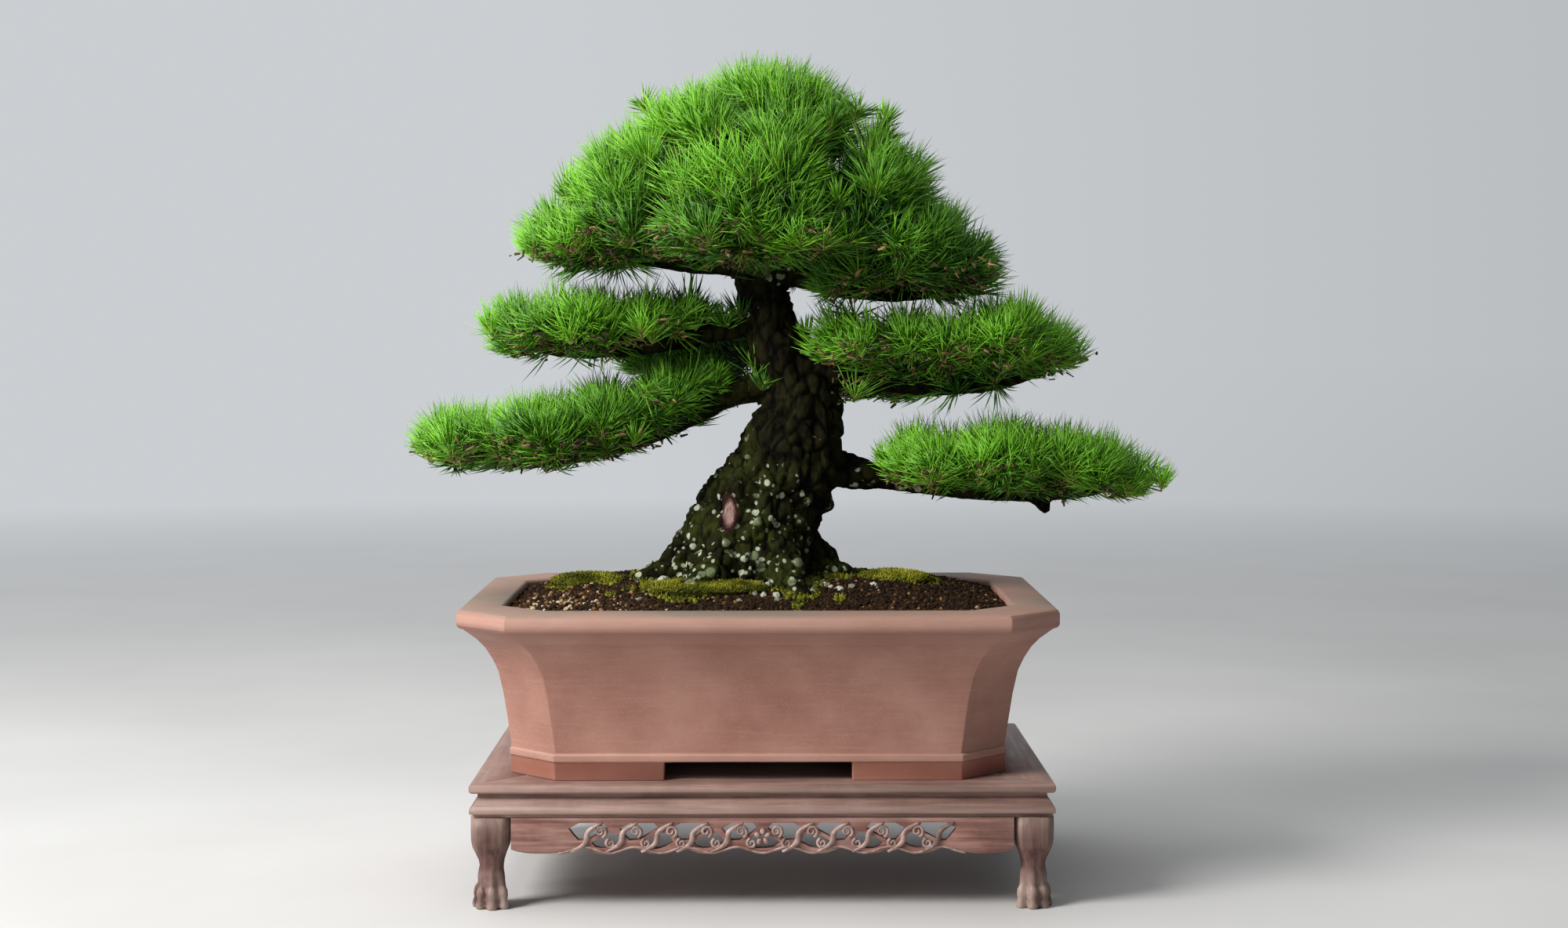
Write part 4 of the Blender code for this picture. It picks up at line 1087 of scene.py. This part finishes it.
def lights():
    """A large key from the upper left front, a soft top light, and a world that is dimmer on the right."""
    aim = (MIDDLE_X, 0, 0.35)
    area_light("key", (MIDDLE_X - 2.25, -1.45, 1.9), aim, 1.3, 128, (1.0, 0.985, 0.96))
    area_light("top", (MIDDLE_X - 0.6, -0.1, 2.7), aim, 1.8, 24)
    world = bpy.data.worlds.new("world")
    world.use_nodes = True
    bpy.context.scene.world = world
    tree = world.node_tree
    background = tree.nodes["Background"]
    background.inputs["Color"].default_value = (*AIR, 1)
    towards = add_node(tree, "ShaderNodeTexCoord").outputs["Generated"]
    tree.links.new(air_strength(tree, towards), background.inputs["Strength"])


def floor():
    """A pale floor that fades into the background far from the object."""
    shape = bmesh.new()
    bmesh.ops.create_circle(shape, cap_ends=True, segments=96, radius=40)
    mesh = bpy.data.meshes.new("floor")
    shape.to_mesh(mesh)
    shape.free()
    made = bpy.data.objects.new("floor", mesh)
    bpy.context.collection.objects.link(made)
    material, tree, shader = new_material("floor", 0.7)
    at = position(tree)
    tone = noise_at(tree, at, 2.5, 4, 0.5)
    colour = ramp(tree, tone, [(0.3, (0.56, 0.555, 0.545)), (0.7, (0.62, 0.615, 0.605))])
    tree.links.new(colour, shader.inputs["Base Color"])
    length = add_node(tree, "ShaderNodeVectorMath", {"operation": "LENGTH"})
    tree.links.new(at, length.inputs[0])
    away = length.outputs["Value"]
    heading = add_node(tree, "ShaderNodeVectorMath", {"operation": "NORMALIZE"})
    tree.links.new(at, heading.inputs[0])
    glow = add_node(tree, "ShaderNodeEmission", Color=(*AIR, 1), Strength=air_strength(tree, heading.outputs[0]))
    fade = tree.nodes.new("ShaderNodeMixShader")
    tree.links.new(remap(tree, away, 1.2, 5.0), fade.inputs[0])
    tree.links.new(shader.outputs[0], fade.inputs[1])
    tree.links.new(glow.outputs[0], fade.inputs[2])
    out = tree.nodes["Material Output"]
    tree.links.new(fade.outputs[0], out.inputs["Surface"])
    mesh.materials.append(material)


bpy.context.scene.view_settings.view_transform = "Standard"
camera()
lights()
floor()
pot()
stand()
carvings()
moss(soil())
stones()
bark()
foliage()
bpy.context.view_layer.update()
